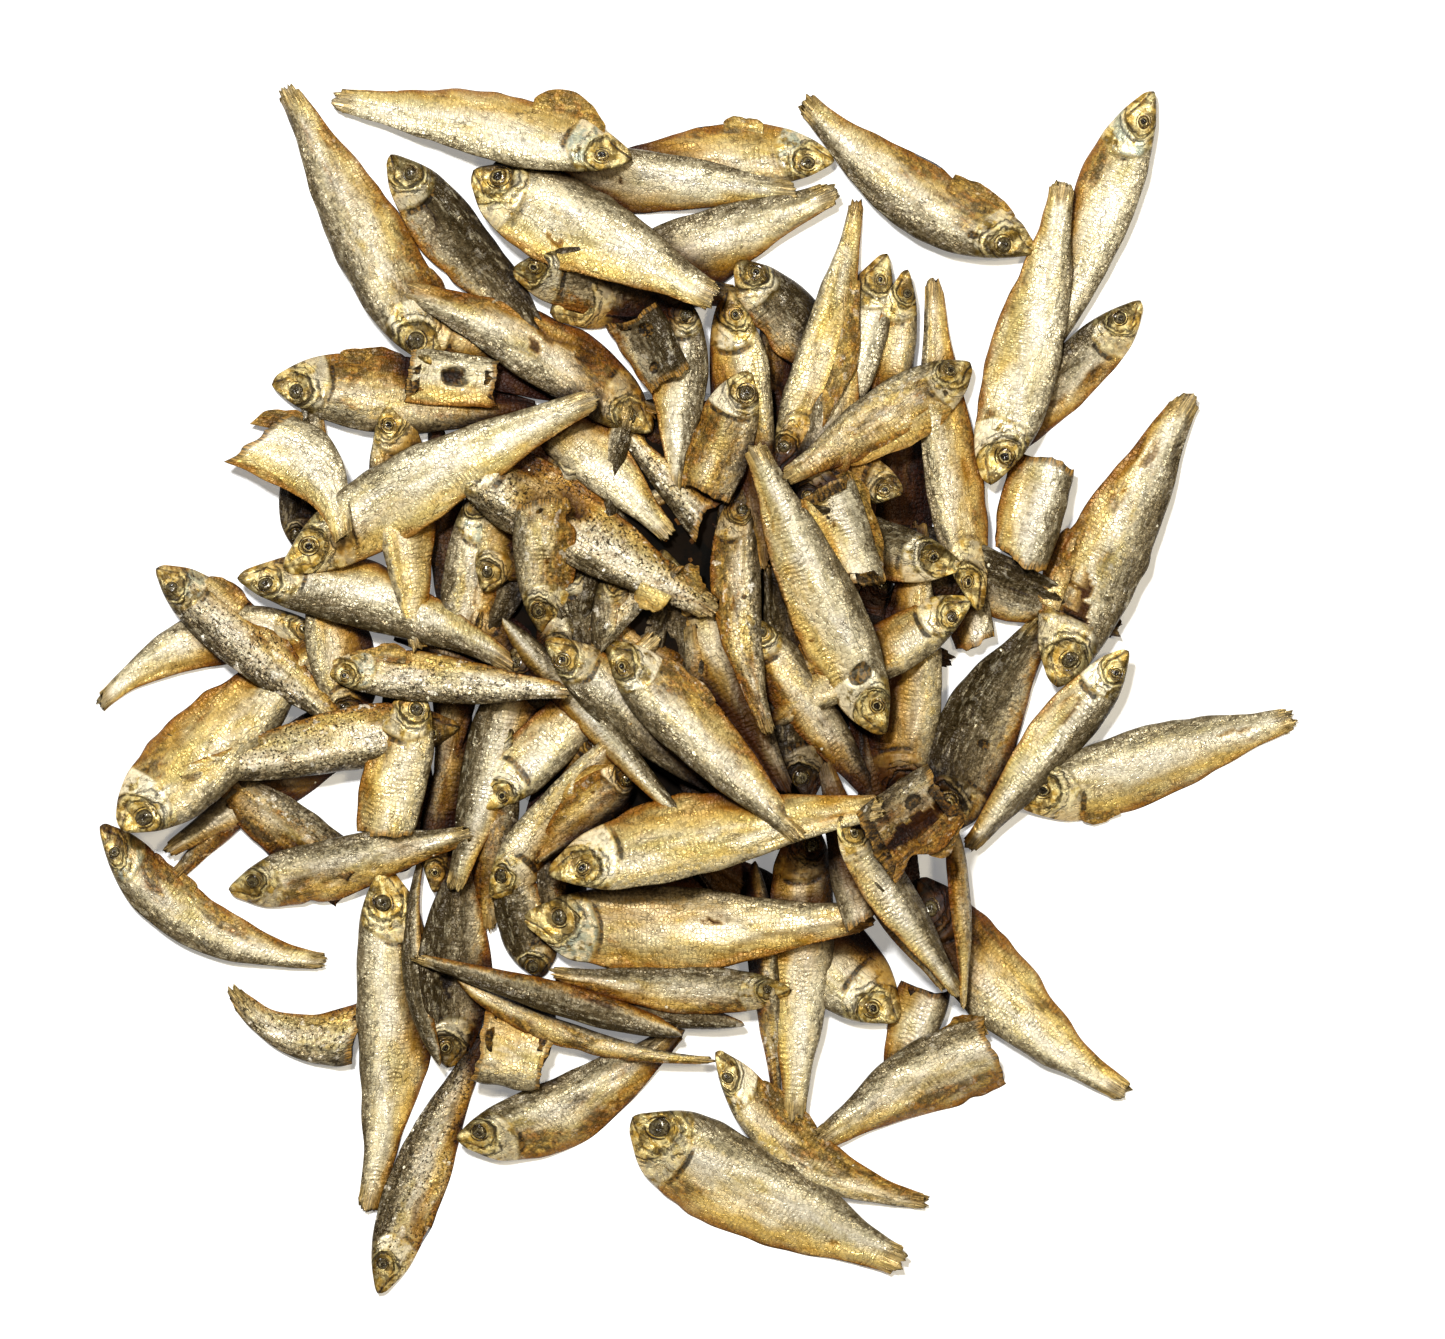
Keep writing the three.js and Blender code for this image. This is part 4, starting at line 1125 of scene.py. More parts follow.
def dried_skin():
    """Skin of a dried sprat: dark back, silver to golden flank, orange-brown keel, golden head."""
    material, tree, shader = new_material("dried_fish_skin")
    along, u, plate, openings_and_shade = channels(tree, "place")
    dark, gold, brown, speckle = channels(tree, "skin")
    torn, blue, head, pale = channels(tree, "marks")
    behind, above, cheek, _ = channels(tree, "head")
    where = attribute(tree, "where").outputs["Vector"]

    def patches(*sizes, **more):
        return blotches(tree, where, *sizes, **more)

    def plus(first, second):
        return sum_of(tree, "ADD", first, second)

    def times(first, second, *more):
        product = sum_of(tree, "MULTIPLY", first, second)
        return times(product, *more) if more else product

    def one_minus(value):
        return sum_of(tree, "SUBTRACT", 1.0, value)

    def most(first, second):
        return sum_of(tree, "MAXIMUM", first, second)

    def grain_of(along_size, across_size, detail=3.0):
        """Noise about 0, from -0.5 to 0.5."""
        return plus(patches(along_size, across_size, 0, 1, detail=detail, output="Grain"), -0.5)

    def line_at(value, centre, width):
        """1 where a value is at the centre, 0 beyond the width."""
        distance = sum_of(tree, "ABSOLUTE", plus(value, -centre))
        return step_up(tree, distance, width, 0.0)

    def over(share, colour, under):
        return mixed(tree, share, under, colour)

    broad = grain_of(24, 9)
    middle = grain_of(7, 4)
    fine = grain_of(1.6, 1.3, 5.0)
    pepper = grain_of(0.8, 0.7, 2.0)

    # Flank: cream in the middle and golden towards the belly, with greenish and silver patches and a pearly
    # band
    lowness = step_up(tree, u, 0.42, 0.04)
    goldness = plus(plus(gold, times(lowness, 0.6)), plus(times(broad, 2.6), times(middle, 0.2)))
    flank = over(step_up(tree, goldness, 0.1, 0.8), PALE_GOLD, CREAM)
    flank = over(step_up(tree, goldness, 0.85, 1.45), DEEP_GOLD, flank)
    flank = over(times(patches(26, 9, 0.44, 0.64), 0.6), GREENISH, flank)
    flank = over(times(patches(18, 7, 0.46, 0.66), one_minus(gold), 0.8), SILVER, flank)
    # A pearly band over the middle of the flank: partly silvery skin and partly a painted highlight
    bright_place = plus(plus(u, times(dark, 0.3)), times(middle, 0.2))
    pearl_and_highlight_band = times(line_at(bright_place, 0.60, 0.38), patches(16, 7, 0.34, 0.60))
    flank = over(times(pearl_and_highlight_band, plus(1.0, times(gold, -0.45))), PEARL, flank)

    # Brown patches, most behind the head and low on the belly
    near_head = line_at(along, 0.27, 0.12)
    brown_place = plus(times(lowness, 0.42), times(near_head, step_up(tree, u, 0.8, 0.3), 0.25))
    brownness = plus(times(brown, 0.9), brown_place)
    brownness = plus(brownness, plus(times(grain_of(16, 6), 2.4), times(fine, 0.7)))
    browned = step_up(tree, brownness, 0.45, 1.0)
    brown_colour = mixed(tree, patches(6, 3, 0.42, 0.58), AMBER, ORANGE_BROWN)
    pits = patches(1.4, 1.1, 0.50, 0.58, detail=2.0)
    brown_colour = mixed(tree, times(patches(3.4, 2.4, 0.44, 0.58), 0.85), brown_colour, DARK_BROWN)
    brown_colour = mixed(tree, times(pits, 0.6), brown_colour, DARK_BROWN)
    flank = over(times(browned, 0.85), brown_colour, flank)

    # Back: a silver sheen, then mottled grey with dark spots and painted glints, darkest at its edge
    edge = plus(plus(u, dark), plus(times(broad, 0.30), plus(times(middle, 0.35), times(fine, 0.5))))
    peppered = plus(edge, times(pepper, 0.4))
    colour = over(times(step_up(tree, edge, 0.88, 1.04), 0.75), SHEEN, flank)
    colour = over(times(step_up(tree, peppered, 0.98, 1.20), 0.95), GREY, colour)
    mottled = times(patches(3.4, 1.2, 0.46, 0.60), step_up(tree, edge, 0.98, 1.16))
    colour = over(times(mottled, plus(0.38, times(speckle, 0.4))), BACK, colour)
    colour = over(times(step_up(tree, peppered, 1.2, 1.5), 0.85), BACK, colour)
    grains = times(patches(1.4, 0.9, 0.48, 0.58), step_up(tree, edge, 0.86, 1.1))
    colour = over(times(grains, plus(0.2, times(speckle, 0.5))), BACK, colour)
    # Painted glints of light on the back
    painted_glint = times(patches(4.5, 1.3, 0.54, 0.64), step_up(tree, edge, 0.95, 1.1))
    colour = over(times(painted_glint, 0.4), SHEEN, colour)

    # Keel: a thin orange-brown rim
    keel = step_up(tree, plus(u, times(middle, 0.22)), 0.12, 0.0)
    colour = over(times(keel, 0.85), ORANGE_BROWN, colour)

    # Head, with dark folds and painted highlights on rims behind the eye, and its gill plate
    eye = sum_of(tree, "SQRT", plus(times(behind, behind), times(above, above)))
    rear = step_up(tree, sum_of(tree, "DIVIDE", plus(behind, times(above, -0.5)), eye), -0.5, 0.5)
    warped = plus(plus(eye, times(grain_of(4, 3), 0.9)), times(fine, 0.15))
    folds = most(times(line_at(warped, 1.0, 0.13), plus(0.25, times(rear, 0.75))),
                 times(rear, patches(9, 5, 0.40, 0.52), line_at(warped, 1.42, 0.10)))
    rims = times(rear, line_at(warped, 1.2, 0.16))
    cheek_line = times(line_at(plus(cheek, times(middle, 3.0)), 0.0, 0.55), patches(5, 4, 0.36, 0.5))
    second_line = line_at(plus(cheek, times(middle, 5.0)), 2.8, 0.35)
    second_line = times(second_line, patches(4, 3, 0.45, 0.55), 0.6)
    # The folds are dark partly of their own and partly as painted shade in the grooves of the bump
    folds = times(head, most(folds, most(cheek_line, second_line)))
    head_colour = mixed(tree, patches(3.5, 2.5, 0.42, 0.58), HEAD_GOLD, HEAD_PALE)
    head_colour = over(times(patches(2.5, 5, 0.46, 0.58), 0.85), HEAD_OLIVE, head_colour)
    nape = step_up(tree, plus(edge, times(fine, 0.4)), 0.95, 1.25)
    head_colour = over(times(nape, 0.75), BACK, head_colour)
    head_colour = over(times(brown, patches(6, 4, 0.42, 0.6)), DARK_BROWN, head_colour)
    colour = over(times(head, 0.95), head_colour, colour)
    # Painted highlights on the rims behind the eye
    colour = over(times(head, rims, 0.6), HEAD_PALE, colour)
    plate_colour = mixed(tree, times(blue, patches(4, 3, 0.42, 0.56)), PLATE_PALE, PLATE_BLUE)
    colour = over(times(plate, pale, patches(6, 4, 0.38, 0.50)), plate_colour, colour)

    # Tail, with fin rays, and the dark tip of the snout
    tail = step_up(tree, plus(along, times(middle, 0.06)), 0.90, 0.955)
    rays = patches(14, 0.45, 0.44, 0.56)
    colour = over(times(tail, 0.8), mixed(tree, times(rays, 0.7), TAIL, DARK_BROWN), colour)
    tip = times(step_up(tree, plus(along, times(fine, 0.02)), 0.022, 0.0), head)
    colour = over(times(tip, 0.8), DARK_BROWN, colour)

    # Speckles, scales and fine grain
    spots = times(patches(1.0, 0.9, 0.54, 0.61, detail=2.0), patches(11, 6, 0.38, 0.52))
    colour = over(times(spots, speckle, one_minus(times(head, 0.5))), SPECKLE, colour)
    few_spots = times(patches(1.1, 1.0, 0.66, 0.70, detail=1.0), plus(0.2, speckle))
    colour = over(few_spots, DARK_BROWN, colour)
    net = add(tree, "ShaderNodeGroup", {"Place": where, "Size": 1.25}, node_tree=SCALES)
    on_body = one_minus(most(head, tail))
    colour = over(times(net.outputs["Edge"], on_body, 0.10), DARK_BROWN, colour)
    # Crinkle lines: thin grooves of the bump, dark partly of their own and partly as painted shade
    crinkle = times(line_at(grain_of(12, 5), 0.0, 0.02), patches(14, 8, 0.48, 0.58))
    colour = over(times(crinkle, 0.45), DARK_BROWN, colour)
    flakes = times(patches(3.6, 2.8, 0.60, 0.66), step_up(tree, speckle, 0.15, 0.6), on_body)
    colour = over(times(flakes, 0.65), PEARL, colour)
    shade = step_up(tree, plus(fine, times(middle, 0.5)), -0.28, 0.20)
    shade_colour = mixed(tree, shade, GRAIN_SHADE, WHITE)
    colour = mixed(tree, plus(0.24, times(speckle, 0.5)), colour, shade_colour, "MULTIPLY")

    # Torn flesh, dark head folds, and painted shade in slits, holes, hollow ends, creases and deep in the
    # heap
    fibres = mixed(tree, patches(6, 0.6, 0.42, 0.6), FLESH, DARK_BROWN)
    colour = over(times(torn, 0.9), fibres, colour)
    colour = over(times(folds, 0.8), DEEP, colour)
    # Painted shade in slits, holes, hollow ends and creases: near black, with dark brown and flesh
    uneven = plus(1.0, plus(times(middle, 1.8), times(fine, 1.6)))
    ragged = step_up(tree, times(openings_and_shade, uneven), 0.22, 0.7)
    inside = mixed(tree, patches(1.6, 1.2, 0.48, 0.60), DEEP, mixed(tree, 0.35, DARK_BROWN, FLESH))
    colour = over(times(ragged, 0.9), inside, colour)
    # Painted shade where less sky is seen: first a warmer tint, most on golden and low places and least on
    # the back, then dark
    sky = attribute(tree, "sky").outputs["Fac"]
    shading = step_up(tree, sky, 0.99, 0.46)
    warm_shade_place = step_up(tree, plus(plus(times(gold, 0.9), lowness), times(broad, 2.0)), -0.1, 1.0)
    warm_shade = times(warm_shade_place, one_minus(times(step_up(tree, edge, 0.8, 1.05), 0.8)))
    warm_shade = times(step_up(tree, sky, 1.04, 0.74), plus(0.25, times(warm_shade, 0.75)))
    colour = mixed(tree, warm_shade, colour, WARM_SHADE, "MULTIPLY")
    colour = mixed(tree, shading, colour, mixed(tree, 1.0, colour, SHADED, "MULTIPLY"))
    tree.links.new(colour, shader.inputs["Base Color"])

    dull = most(most(times(browned, 0.5), torn), most(most(ragged, folds), shading))
    metal = times(one_minus(dull), plus(0.12, times(net.outputs["Each"], net.outputs["Each"], 0.5)))
    tree.links.new(metal, shader.inputs["Metallic"])
    rough = plus(0.24, plus(times(shade, 0.10), times(dull, 0.25)))
    tree.links.new(rough, shader.inputs["Roughness"])
    shader.inputs["Specular IOR Level"].default_value = 0.22

    # Fine relief: scales, crinkles along and across, ribs over the flank, and the folds of the head
    length_on = add(tree, "ShaderNodeSeparateXYZ", {0: where}).outputs[0]
    ripple = sum_of(tree, "SINE", plus(times(length_on, 4.2), times(middle, 16)))
    ribs = times(ripple, patches(22, 9, 0.48, 0.56), times(step_up(tree, u, 0.75, 0.5), on_body))
    relief = times(net.outputs["Height"], on_body, 0.5)
    relief = plus(relief, times(fine, plus(0.5, times(speckle, 0.5))))
    crumpled = plus(0.3, times(most(patches(20, 8, 0.46, 0.62), step_up(tree, edge, 0.8, 1.1)), 0.9))
    crumples = plus(times(grain_of(4.2, 2.2), 1.2), times(grain_of(2.0, 4.4), 0.9))
    relief = plus(relief, times(crumples, crumpled))
    relief = plus(relief, plus(times(rays, tail, 0.5), plus(times(ribs, 0.32), times(browned, pits, -0.6))))
    head_lines = plus(times(rims, 0.6), times(folds, -0.9))
    relief = plus(relief, plus(times(crinkle, -0.5), times(head, head_lines)))
    bump = add(tree, "ShaderNodeBump", {"Height": relief, "Strength": 1.0, "Distance": 0.45 * MM})
    tree.links.new(bump.outputs[0], shader.inputs["Normal"])
    return material


def eye_material():
    """Shrunken eye: a dark pupil in a clouded or shining ring, wrinkled, with a dark groove round it."""
    material, tree, shader = new_material("shrunken_eye")
    ring = attribute(tree, "ring").outputs["Fac"]
    shade = attribute(tree, "shade").outputs["Fac"]
    place = place_in_mm(tree)
    wobble = sum_of(tree, "SUBTRACT", blotches(tree, place, 2.2, 2.2, 0, 1, output="Grain"), 0.5)
    pits = blotches(tree, place, 0.8, 0.8, 0.48, 0.60)
    ring = sum_of(tree, "MULTIPLY_ADD", wobble, 0.45, ring)
    clear, clouded = ramp_of(tree, ring, CLEAR_EYE), ramp_of(tree, ring, CLOUDED_EYE)
    colour = mixed(tree, step_up(tree, shade, 0.35, 0.5), clear, clouded)
    colour = mixed(tree, sum_of(tree, "MULTIPLY", pits, 0.7), colour, DEEP)
    colour = mixed(tree, sum_of(tree, "MULTIPLY", shade, 0.4), colour, DARK_BROWN)
    tree.links.new(colour, shader.inputs["Base Color"])
    shader.inputs["Roughness"].default_value = 0.22
    shader.inputs["Metallic"].default_value = 0.15
    bump = add(tree, "ShaderNodeBump", {"Height": pits, "Strength": 0.8, "Distance": 0.3 * MM})
    tree.links.new(bump.outputs[0], shader.inputs["Normal"])
    return material


def ramp_of(tree, value, stops):
    """A colour ramp with stops (place, red, green, blue) over a value."""
    ramp = tree.nodes.new("ShaderNodeValToRGB")
    elements = ramp.color_ramp.elements
    elements[0].color, elements[1].color = rgb(*stops[0][1:]), rgb(*stops[-1][1:])
    for place, *colour in stops[1:-1]:
        elements.new(place).color = rgb(*colour)
    tree.links.new(value, ramp.inputs[0])
    return ramp.outputs[0]


def plain_material(name, first, second, size, roughness, metallic=0.0):
    """Two colours in patches of one size, with a fine grain, for crumbs, the core and loose scales."""
    material, tree, shader = new_material(name)
    place = place_in_mm(tree)
    colour = mixed(tree, blotches(tree, place, size, size, 0.42, 0.6), first, second)
    tree.links.new(colour, shader.inputs["Base Color"])
    shader.inputs["Roughness"].default_value = roughness
    shader.inputs["Metallic"].default_value = metallic
    shader.inputs["Specular IOR Level"].default_value = 0.1
    grain = blotches(tree, place, 0.7, 0.7, 0, 1, output="Grain")
    bump = add(tree, "ShaderNodeBump", {"Height": grain, "Strength": 0.5, "Distance": 0.3 * MM})
    tree.links.new(bump.outputs[0], shader.inputs["Normal"])
    return material


skin_material = dried_skin()
eye_look = eye_material()
# The core is near black: painted shade for the gaps deep in the heap
shade_dark_core_look = plain_material("shade_dark_crumbs", rgb(6, 4, 1), rgb(17, 10, 3), 5, 0.95)
crumb_look = plain_material("brown_crumbs", rgb(110, 72, 32), rgb(66, 42, 20), 3, 0.7)
scale_look = plain_material("loose_scales", rgb(236, 230, 206), rgb(206, 198, 170), 2, 0.3, 0.3)


# Pieces

def finish_piece(piece, material, body="root"):
    if material:
        piece.data.materials.clear()
        piece.data.materials.append(material)
    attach(piece, body)
    return piece


def rings_of_faces(rings, around, first=0):
    """Faces between rings of points, each ring outside the one before it."""
    faces = []
    for ring in range(rings - 1):
        near = first + ring * around
        for step in range(around):
            beside = (step + 1) % around
            faces.append((near + step, near + around + step, near + around + beside, near + beside))
    return faces


def fan(middle, first, around, upwards):
    """Triangles from a middle point to the ring of points that begins at the first, facing up or down."""
    sides = [(first + step, first + (step + 1) % around) for step in range(around)]
    return [(middle, here, beside) if upwards else (middle, beside, here) for here, beside in sides]


def surface_frame(shape, along, across):
    """Point on a fish's upper side, with the directions along it and out of it."""
    reach_along, reach_across = 5, 4
    i = int(np.abs(shape["along"] - along).argmin())
    j = int(np.abs(shape["u"][:POINTS_OVER] - across).argmin())
    points = shape["points"]
    ahead = points[i + reach_along, j] - points[i - reach_along, j]
    aside = points[i, j + reach_across] - points[i, j - reach_across]
    normal = np.cross(ahead, aside)
    normal = normal / np.linalg.norm(normal)
    if normal[2] < 0:
        normal = -normal
    ahead = ahead / np.linalg.norm(ahead)
    return points[i, j], ahead, normal


def eye_disc():
    """One eye of radius 1: rings of points from its pupil to its rim, which goes down under the skin."""
    rng = np.random.default_rng(SEEDS["eye"])
    points, ring = [(0, 0, 0.24)], [0.0]
    for radius, height in EYE_PROFILE:
        wrinkles = waves(rng, np.arange(EYE_AROUND) / EYE_AROUND, 9) * 0.05 * (radius < 0.7)
        for step in range(EYE_AROUND):
            angle = 2 * math.pi * step / EYE_AROUND
            points.append((radius * math.cos(angle), radius * math.sin(angle), height + wrinkles[step]))
            ring.append(min(radius, 1.0))
    points.append((0, 0, -0.3))
    ring.append(1.0)
    outermost = 1 + (len(EYE_PROFILE) - 1) * EYE_AROUND
    faces = fan(0, 1, EYE_AROUND, True) + rings_of_faces(len(EYE_PROFILE), EYE_AROUND, 1)
    faces += fan(len(points) - 1, outermost, EYE_AROUND, False)
    return smooth_object("eye_disc", points, faces, [("ring", "FLOAT", ring)])


def geometry_tree(name, inputs):
    """A Geometry Nodes tree with a geometry in and out, and the named inputs (name, kind, value)."""
    tree = bpy.data.node_groups.new(name, "GeometryNodeTree")
    tree.interface.new_socket("Geometry", in_out="INPUT", socket_type="NodeSocketGeometry")
    sockets = add_inputs(tree, inputs)
    tree.interface.new_socket("Geometry", in_out="OUTPUT", socket_type="NodeSocketGeometry")
    return tree, sockets, tree.nodes.new("NodeGroupInput").outputs, tree.nodes.new("NodeGroupOutput").inputs


def made_by(tree, sockets, values, source, name):
    """Runs a Geometry Nodes tree on a source object and gives the result as a plain mesh object."""
    modifier = source.modifiers.new(tree.name, "NODES")
    modifier.node_group = tree
    for title, value in values.items():
        modifier[sockets[title]] = value
    bpy.context.view_layer.update()
    evaluated = source.evaluated_get(bpy.context.evaluated_depsgraph_get())
    mesh = bpy.data.meshes.new_from_object(evaluated)
    mesh.name = name
    source.modifiers.remove(modifier)
    return link(name, mesh)


def realised(tree, instances, material, result):
    """Ends a tree: the instances made real, with their material."""
    real = add(tree, "GeometryNodeRealizeInstances", {"Geometry": instances}).outputs[0]
    done = add(tree, "GeometryNodeSetMaterial", {"Geometry": real, "Material": material}).outputs[0]
    tree.links.new(done, result["Geometry"])


def held_by_points(tree, name, kind):
    """What the points hold under a name, for use in a Geometry Nodes tree."""
    return add(tree, "GeometryNodeInputNamedAttribute", {"Name": name}, data_type=kind).outputs[0]


def eye_points(shapes):
    """A point on the upper side of every head, which holds how its eye is turned, its size and shade."""
    points, turns, sizes, shades = [], [], [], []
    rng = np.random.default_rng(SEEDS["eye turn"])
    for fish, shape in shapes:
        if not fish.has_head:
            continue
        point, ahead, normal = surface_frame(shape, fish.eye_along, fish.eye_across)
        aside = np.cross(normal, ahead)
        ahead = np.cross(aside, normal)
        spin = rng.uniform(-0.6, 0.6)
        ahead, aside = (ahead * math.cos(spin) + aside * math.sin(spin),
                        aside * math.cos(spin) - ahead * math.sin(spin))
        turn = np.stack((ahead, aside, normal), axis=1)
        radius = fish.eye_radius * BALL_RADIUS * MM
        points.append(tuple(point * MM))
        turns.append(Matrix(turn.tolist()).to_euler())
        sizes.append((radius * rng.uniform(0.95, 1.12), radius * rng.uniform(0.80, 1.0), radius))
        shades.append(rng.uniform(0, 0.7) + 0.4 * SKINS[fish.skin][2])
    mesh = bpy.data.meshes.new("eye_points")
    mesh.from_pydata(points, [], [])
    add_values(mesh, "turn", "FLOAT_VECTOR", turns)
    add_values(mesh, "size", "FLOAT_VECTOR", sizes)
    add_values(mesh, "shade", "FLOAT", shades)
    return link("eye_points", mesh)


def eyes_of(shapes):
    """An eye on the upper side of every head, by Geometry Nodes on one point for each."""
    source = eye_points(shapes)
    disc = eye_disc()
    tree, sockets, given, result = geometry_tree(
        "Eyes on points", (("Eye", "Object", None), ("Material", "Material", None)))
    eye = add(tree, "GeometryNodeObjectInfo", {"Object": given["Eye"]}).outputs["Geometry"]
    turn = held_by_points(tree, "turn", "FLOAT_VECTOR")
    size = held_by_points(tree, "size", "FLOAT_VECTOR")
    instances = add(tree, "GeometryNodeInstanceOnPoints", {
        "Points": given["Geometry"], "Instance": eye, "Rotation": turn, "Scale": size}).outputs[0]
    realised(tree, instances, given["Material"], result)
    made = made_by(tree, sockets, {"Eye": disc, "Material": eye_look}, source, "eyes")
    bpy.data.objects.remove(source)
    bpy.data.objects.remove(disc)
    return made


def flat_chip(name, around, rise):
    """A small flake of radius 1 with an uneven rim of so many points, crowned and thin."""
    rng = np.random.default_rng(around)
    angle = np.arange(around) / around * 2 * math.pi
    radius = rng.uniform(0.75, 1.1, around)
    rim = [(radius[step] * math.cos(angle[step]), radius[step] * math.sin(angle[step]), -0.05)
           for step in range(around)]
    faces = fan(0, 2, around, True) + fan(1, 2, around, False)
    mesh = bpy.data.meshes.new(name)
    mesh.from_pydata([(0, 0, rise), (0, 0, -0.3), *rim], [], faces)
    return link(name, mesh)


def scatter_tree():
    """Flakes strewn over a surface, turned at random and lying flat on it."""
    tree, sockets, given, result = geometry_tree("Strewn flakes", (
        ("Flake", "Object", None), ("Density", "Float", 1000.0), ("Where", "String", ""),
        ("Least", "Float", 0.001), ("Largest", "Float", 0.002), ("Seed", "Int", 1),
        ("Material", "Material", None)))
    held = held_by_points(tree, given["Where"], "FLOAT")
    density = sum_of(tree, "MULTIPLY", held, given["Density"])
    strewn = add(tree, "GeometryNodeDistributePointsOnFaces",
                 {"Mesh": given["Geometry"], "Density": density, "Seed": given["Seed"]}).outputs
    spin = add(tree, "FunctionNodeRandomValue", {2: 0.0, 3: 2 * math.pi, "Seed": given["Seed"]}).outputs[1]
    turn = add(tree, "ShaderNodeCombineXYZ", {2: spin}).outputs[0]
    turned = add(tree, "FunctionNodeRotateEuler", {"Rotation": strewn["Rotation"], "Rotate By": turn},
                 space="LOCAL").outputs[0]
    size = add(tree, "FunctionNodeRandomValue",
               {2: given["Least"], 3: given["Largest"], "Seed": given["Seed"]}).outputs[1]
    flake = add(tree, "GeometryNodeObjectInfo", {"Object": given["Flake"]}).outputs["Geometry"]
    instances = add(tree, "GeometryNodeInstanceOnPoints", {
        "Points": strewn["Points"], "Instance": flake, "Rotation": turned, "Scale": size}).outputs[0]
    realised(tree, instances, given["Material"], result)
    return tree, sockets


def strewn_over(ground, name, flake, values):
    tree, sockets = SCATTER
    made = made_by(tree, sockets, {"Flake": flake, **values}, ground, name)
    bpy.data.objects.remove(flake)
    return made


def packed_core():
    """Low lumpy mound of crumbs and hidden fish under the middle of the heap, with a flat bottom."""
    rng = np.random.default_rng(SEEDS["core"])
    share = np.linspace(0, 1, CORE_RINGS + 1)[1:]
    angle = np.arange(CORE_AROUND) / CORE_AROUND * 2 * math.pi
    x = CORE_CENTRE[0] + CORE_RADII[0] * share[:, None] * np.cos(angle)
    y = CORE_CENTRE[1] + CORE_RADII[1] * share[:, None] * np.sin(angle)
    grid = np.linspace(-1, 1, LUMP_GRID)
    lumps = hills(rng, (grid + 1) / 2, grid, 26, 26) * 1.6
    lumps = lumps + hills(rng, (grid + 1) / 2, grid, 60, 60) * 0.7
    last = LUMP_GRID - 1
    column, row = (((place + HALF_FIELD / 2) / HALF_FIELD * last).astype(int).clip(0, last)
                   for place in (x, y))
    z = core_height(x, y) - CORE_DROP + lumps[row, column] * (1 - share[:, None] ** 6)
    z = z.clip(0, None)
    z[-1] = 0
    middles = [(*CORE_CENTRE, CORE_HEIGHT - CORE_DROP), (*CORE_CENTRE, 0)]
    points = np.concatenate((np.stack((x, y, z), axis=-1).reshape(-1, 3), middles)) * MM
    rim = (CORE_RINGS - 1) * CORE_AROUND
    faces = rings_of_faces(CORE_RINGS, CORE_AROUND) + fan(len(points) - 2, 0, CORE_AROUND, True)
    faces += fan(len(points) - 1, rim, CORE_AROUND, False)
    top = np.concatenate((np.repeat(share < CRUMBS_REACH, CORE_AROUND), (1, 0)))
    return smooth_object("packed_core", points.tolist(), faces, [("top", "FLOAT", top)])


def hidden_fish():
    """Plainer fish half sunk in the core, which show only deep in the gaps between the others."""
    rng = np.random.default_rng(SEEDS["hidden"])
    middles = cell_middles()
    heights = (core_height(middles[None, :], middles[:, None]) - HIDDEN_SUNK).clip(0, None)
    shapes = []
    for number in range(HIDDEN):
        angle, spot = rng.uniform(0, 2 * math.pi), rng.uniform(0, 2 * math.pi)
        reach = 0.8 * math.sqrt(rng.uniform(0, 1))
        half = rng.uniform(60, 85) / 2
        middle_x = CORE_CENTRE[0] + CORE_RADII[0] * reach * math.cos(spot)
        middle_y = CORE_CENTRE[1] + CORE_RADII[1] * reach * math.sin(spot)
        half_x, half_y = half * math.cos(angle), half * math.sin(angle)
        depth = rng.uniform(15, 20)
        fish = Fish(FIRST_HIDDEN + number, "whole", middle_x - half_x, middle_y - half_y,
                    middle_x + half_x, middle_y + half_y, depth, 1 if number % 2 else -1, 0,
                    HIDDEN_SKINS[number % len(HIDDEN_SKINS)], "gold")
        settle(fish, heights)
        shapes.append(dried_fish(fish, *HIDDEN_FINENESS))
    return join_fish("hidden_sprats", shapes)


shapes = [(fish, dried_fish(fish, SECTIONS, POINTS_OVER, POINTS_UNDER)) for fish in heap]
whole = [shape for fish, shape in shapes if fish.kind == "whole"]
narrow = [shape for fish, shape in shapes if fish.kind == "narrow"]
broken = [shape for fish, shape in shapes if fish.kind not in ("whole", "narrow")]
pieces = [join_fish(f"whole_sprats_{first // PER_PIECE + 1}", whole[first:first + PER_PIECE])
          for first in range(0, len(whole), PER_PIECE)]
pieces.append(join_fish("broken_sprats", broken))
pieces.append(join_fish("shrivelled_sprats", narrow))
pieces.append(join_fish("torn_flaps", [torn_flap(heap[index], *more) for index, *more in FLAPS]))
pieces.append(hidden_fish())
for piece in pieces:
    finish_piece(piece, skin_material)
finish_piece(eyes_of(shapes), None)

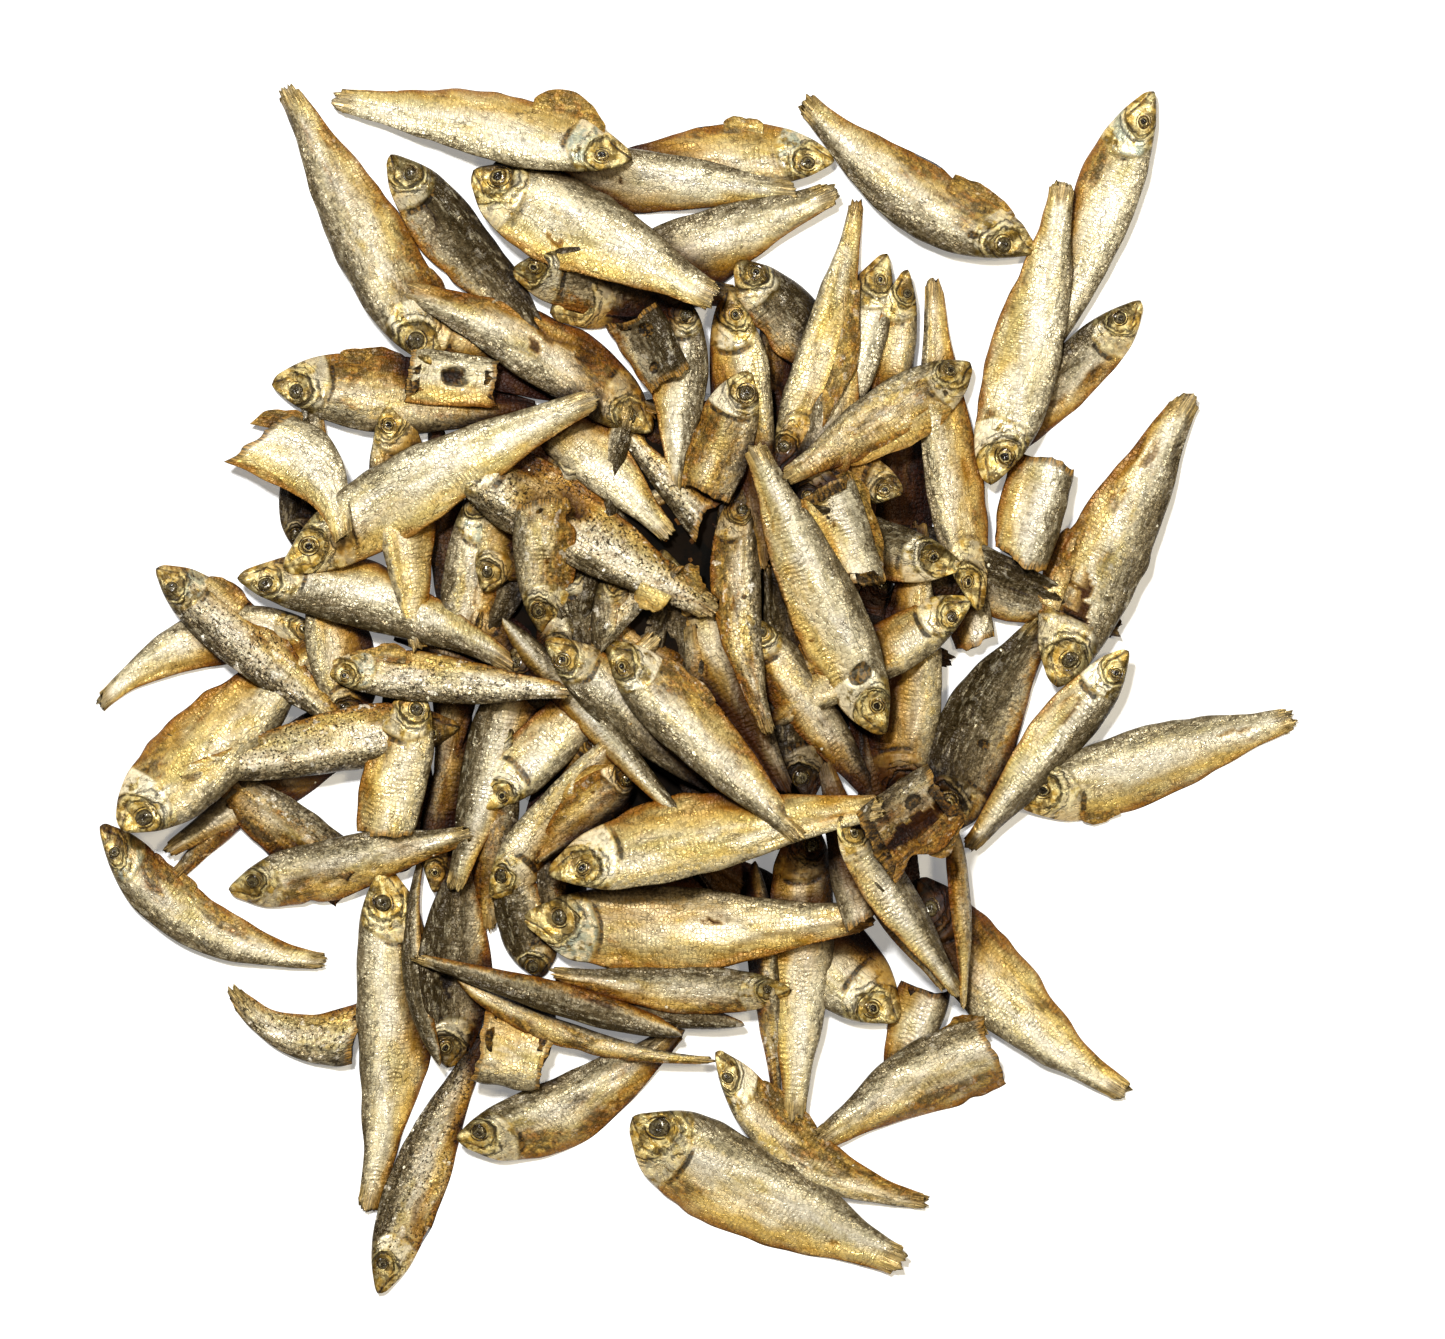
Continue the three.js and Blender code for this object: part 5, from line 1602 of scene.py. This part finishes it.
SCATTER = scatter_tree()
ground = join_fish("flanks", [shape for fish, shape in shapes])
scales = strewn_over(ground, "loose_scales", flat_chip("scale", 7, 0.12), {
    "Density": 7000.0, "Where": "glint", "Least": 0.3 * MM, "Largest": 0.8 * MM,
    "Seed": SEEDS["scales"], "Material": scale_look})
bpy.data.objects.remove(ground)
finish_piece(scales, None)

core = packed_core()
crumbs = strewn_over(core, "crumbs", flat_chip("crumb", 5, 0.5), {
    "Density": 9000.0, "Where": "top", "Least": 0.8 * MM, "Largest": 2.4 * MM,
    "Seed": SEEDS["crumbs"], "Material": crumb_look})
finish_piece(crumbs, None)
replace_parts(finish_piece(core, shade_dark_core_look), "sprats")


# Floor, lights and camera

def floor():
    half = FLOOR_WIDTH / 2
    mesh = bpy.data.meshes.new("floor")
    corners = [(-half, -half, 0), (half, -half, 0), (half, half, 0), (-half, half, 0)]
    mesh.from_pydata(corners, [], [(0, 1, 2, 3)])
    made = link("floor", mesh)
    material, _, shader = new_material("pale_floor")
    shader.inputs["Base Color"].default_value = (0.85, 0.85, 0.85, 1)
    shader.inputs["Roughness"].default_value = 0.9
    shader.inputs["Emission Color"].default_value = (1, 1, 1, 1)
    shader.inputs["Emission Strength"].default_value = 0.25
    mesh.materials.append(material)


def soft_light(name, place, size, power, colour):
    light = bpy.data.lights.new(name, "AREA")
    light.shape = "DISK"
    light.size = size
    light.energy = power
    light.color = colour
    made = link(name, light)
    made.location = place
    made.rotation_euler = (-Vector(place)).to_track_quat("-Z", "Y").to_euler()


def even_light(strength):
    world = bpy.data.worlds.new("studio")
    world.use_nodes = True
    background = world.node_tree.nodes["Background"]
    background.inputs[0].default_value = (1, 1, 1, 1)
    background.inputs[1].default_value = strength
    bpy.context.scene.world = world


def camera():
    lens = bpy.data.cameras.new("camera")
    lens.lens = LENS
    lens.sensor_width = SENSOR
    lens.clip_end = FARTHEST_SEEN
    distance = PHOTO_WIDTH * MM_PER_PIXEL * LENS / SENSOR
    made = link("camera", lens)
    made.location = (VIEW_CENTRE[0] * MM, VIEW_CENTRE[1] * MM, (VIEW_HEIGHT + distance) * MM)
    bpy.context.scene.camera = made


floor()
for light in LIGHTS:
    soft_light(*light)
even_light(EVEN_LIGHT)
bpy.context.scene.view_settings.view_transform = "Standard"
camera()
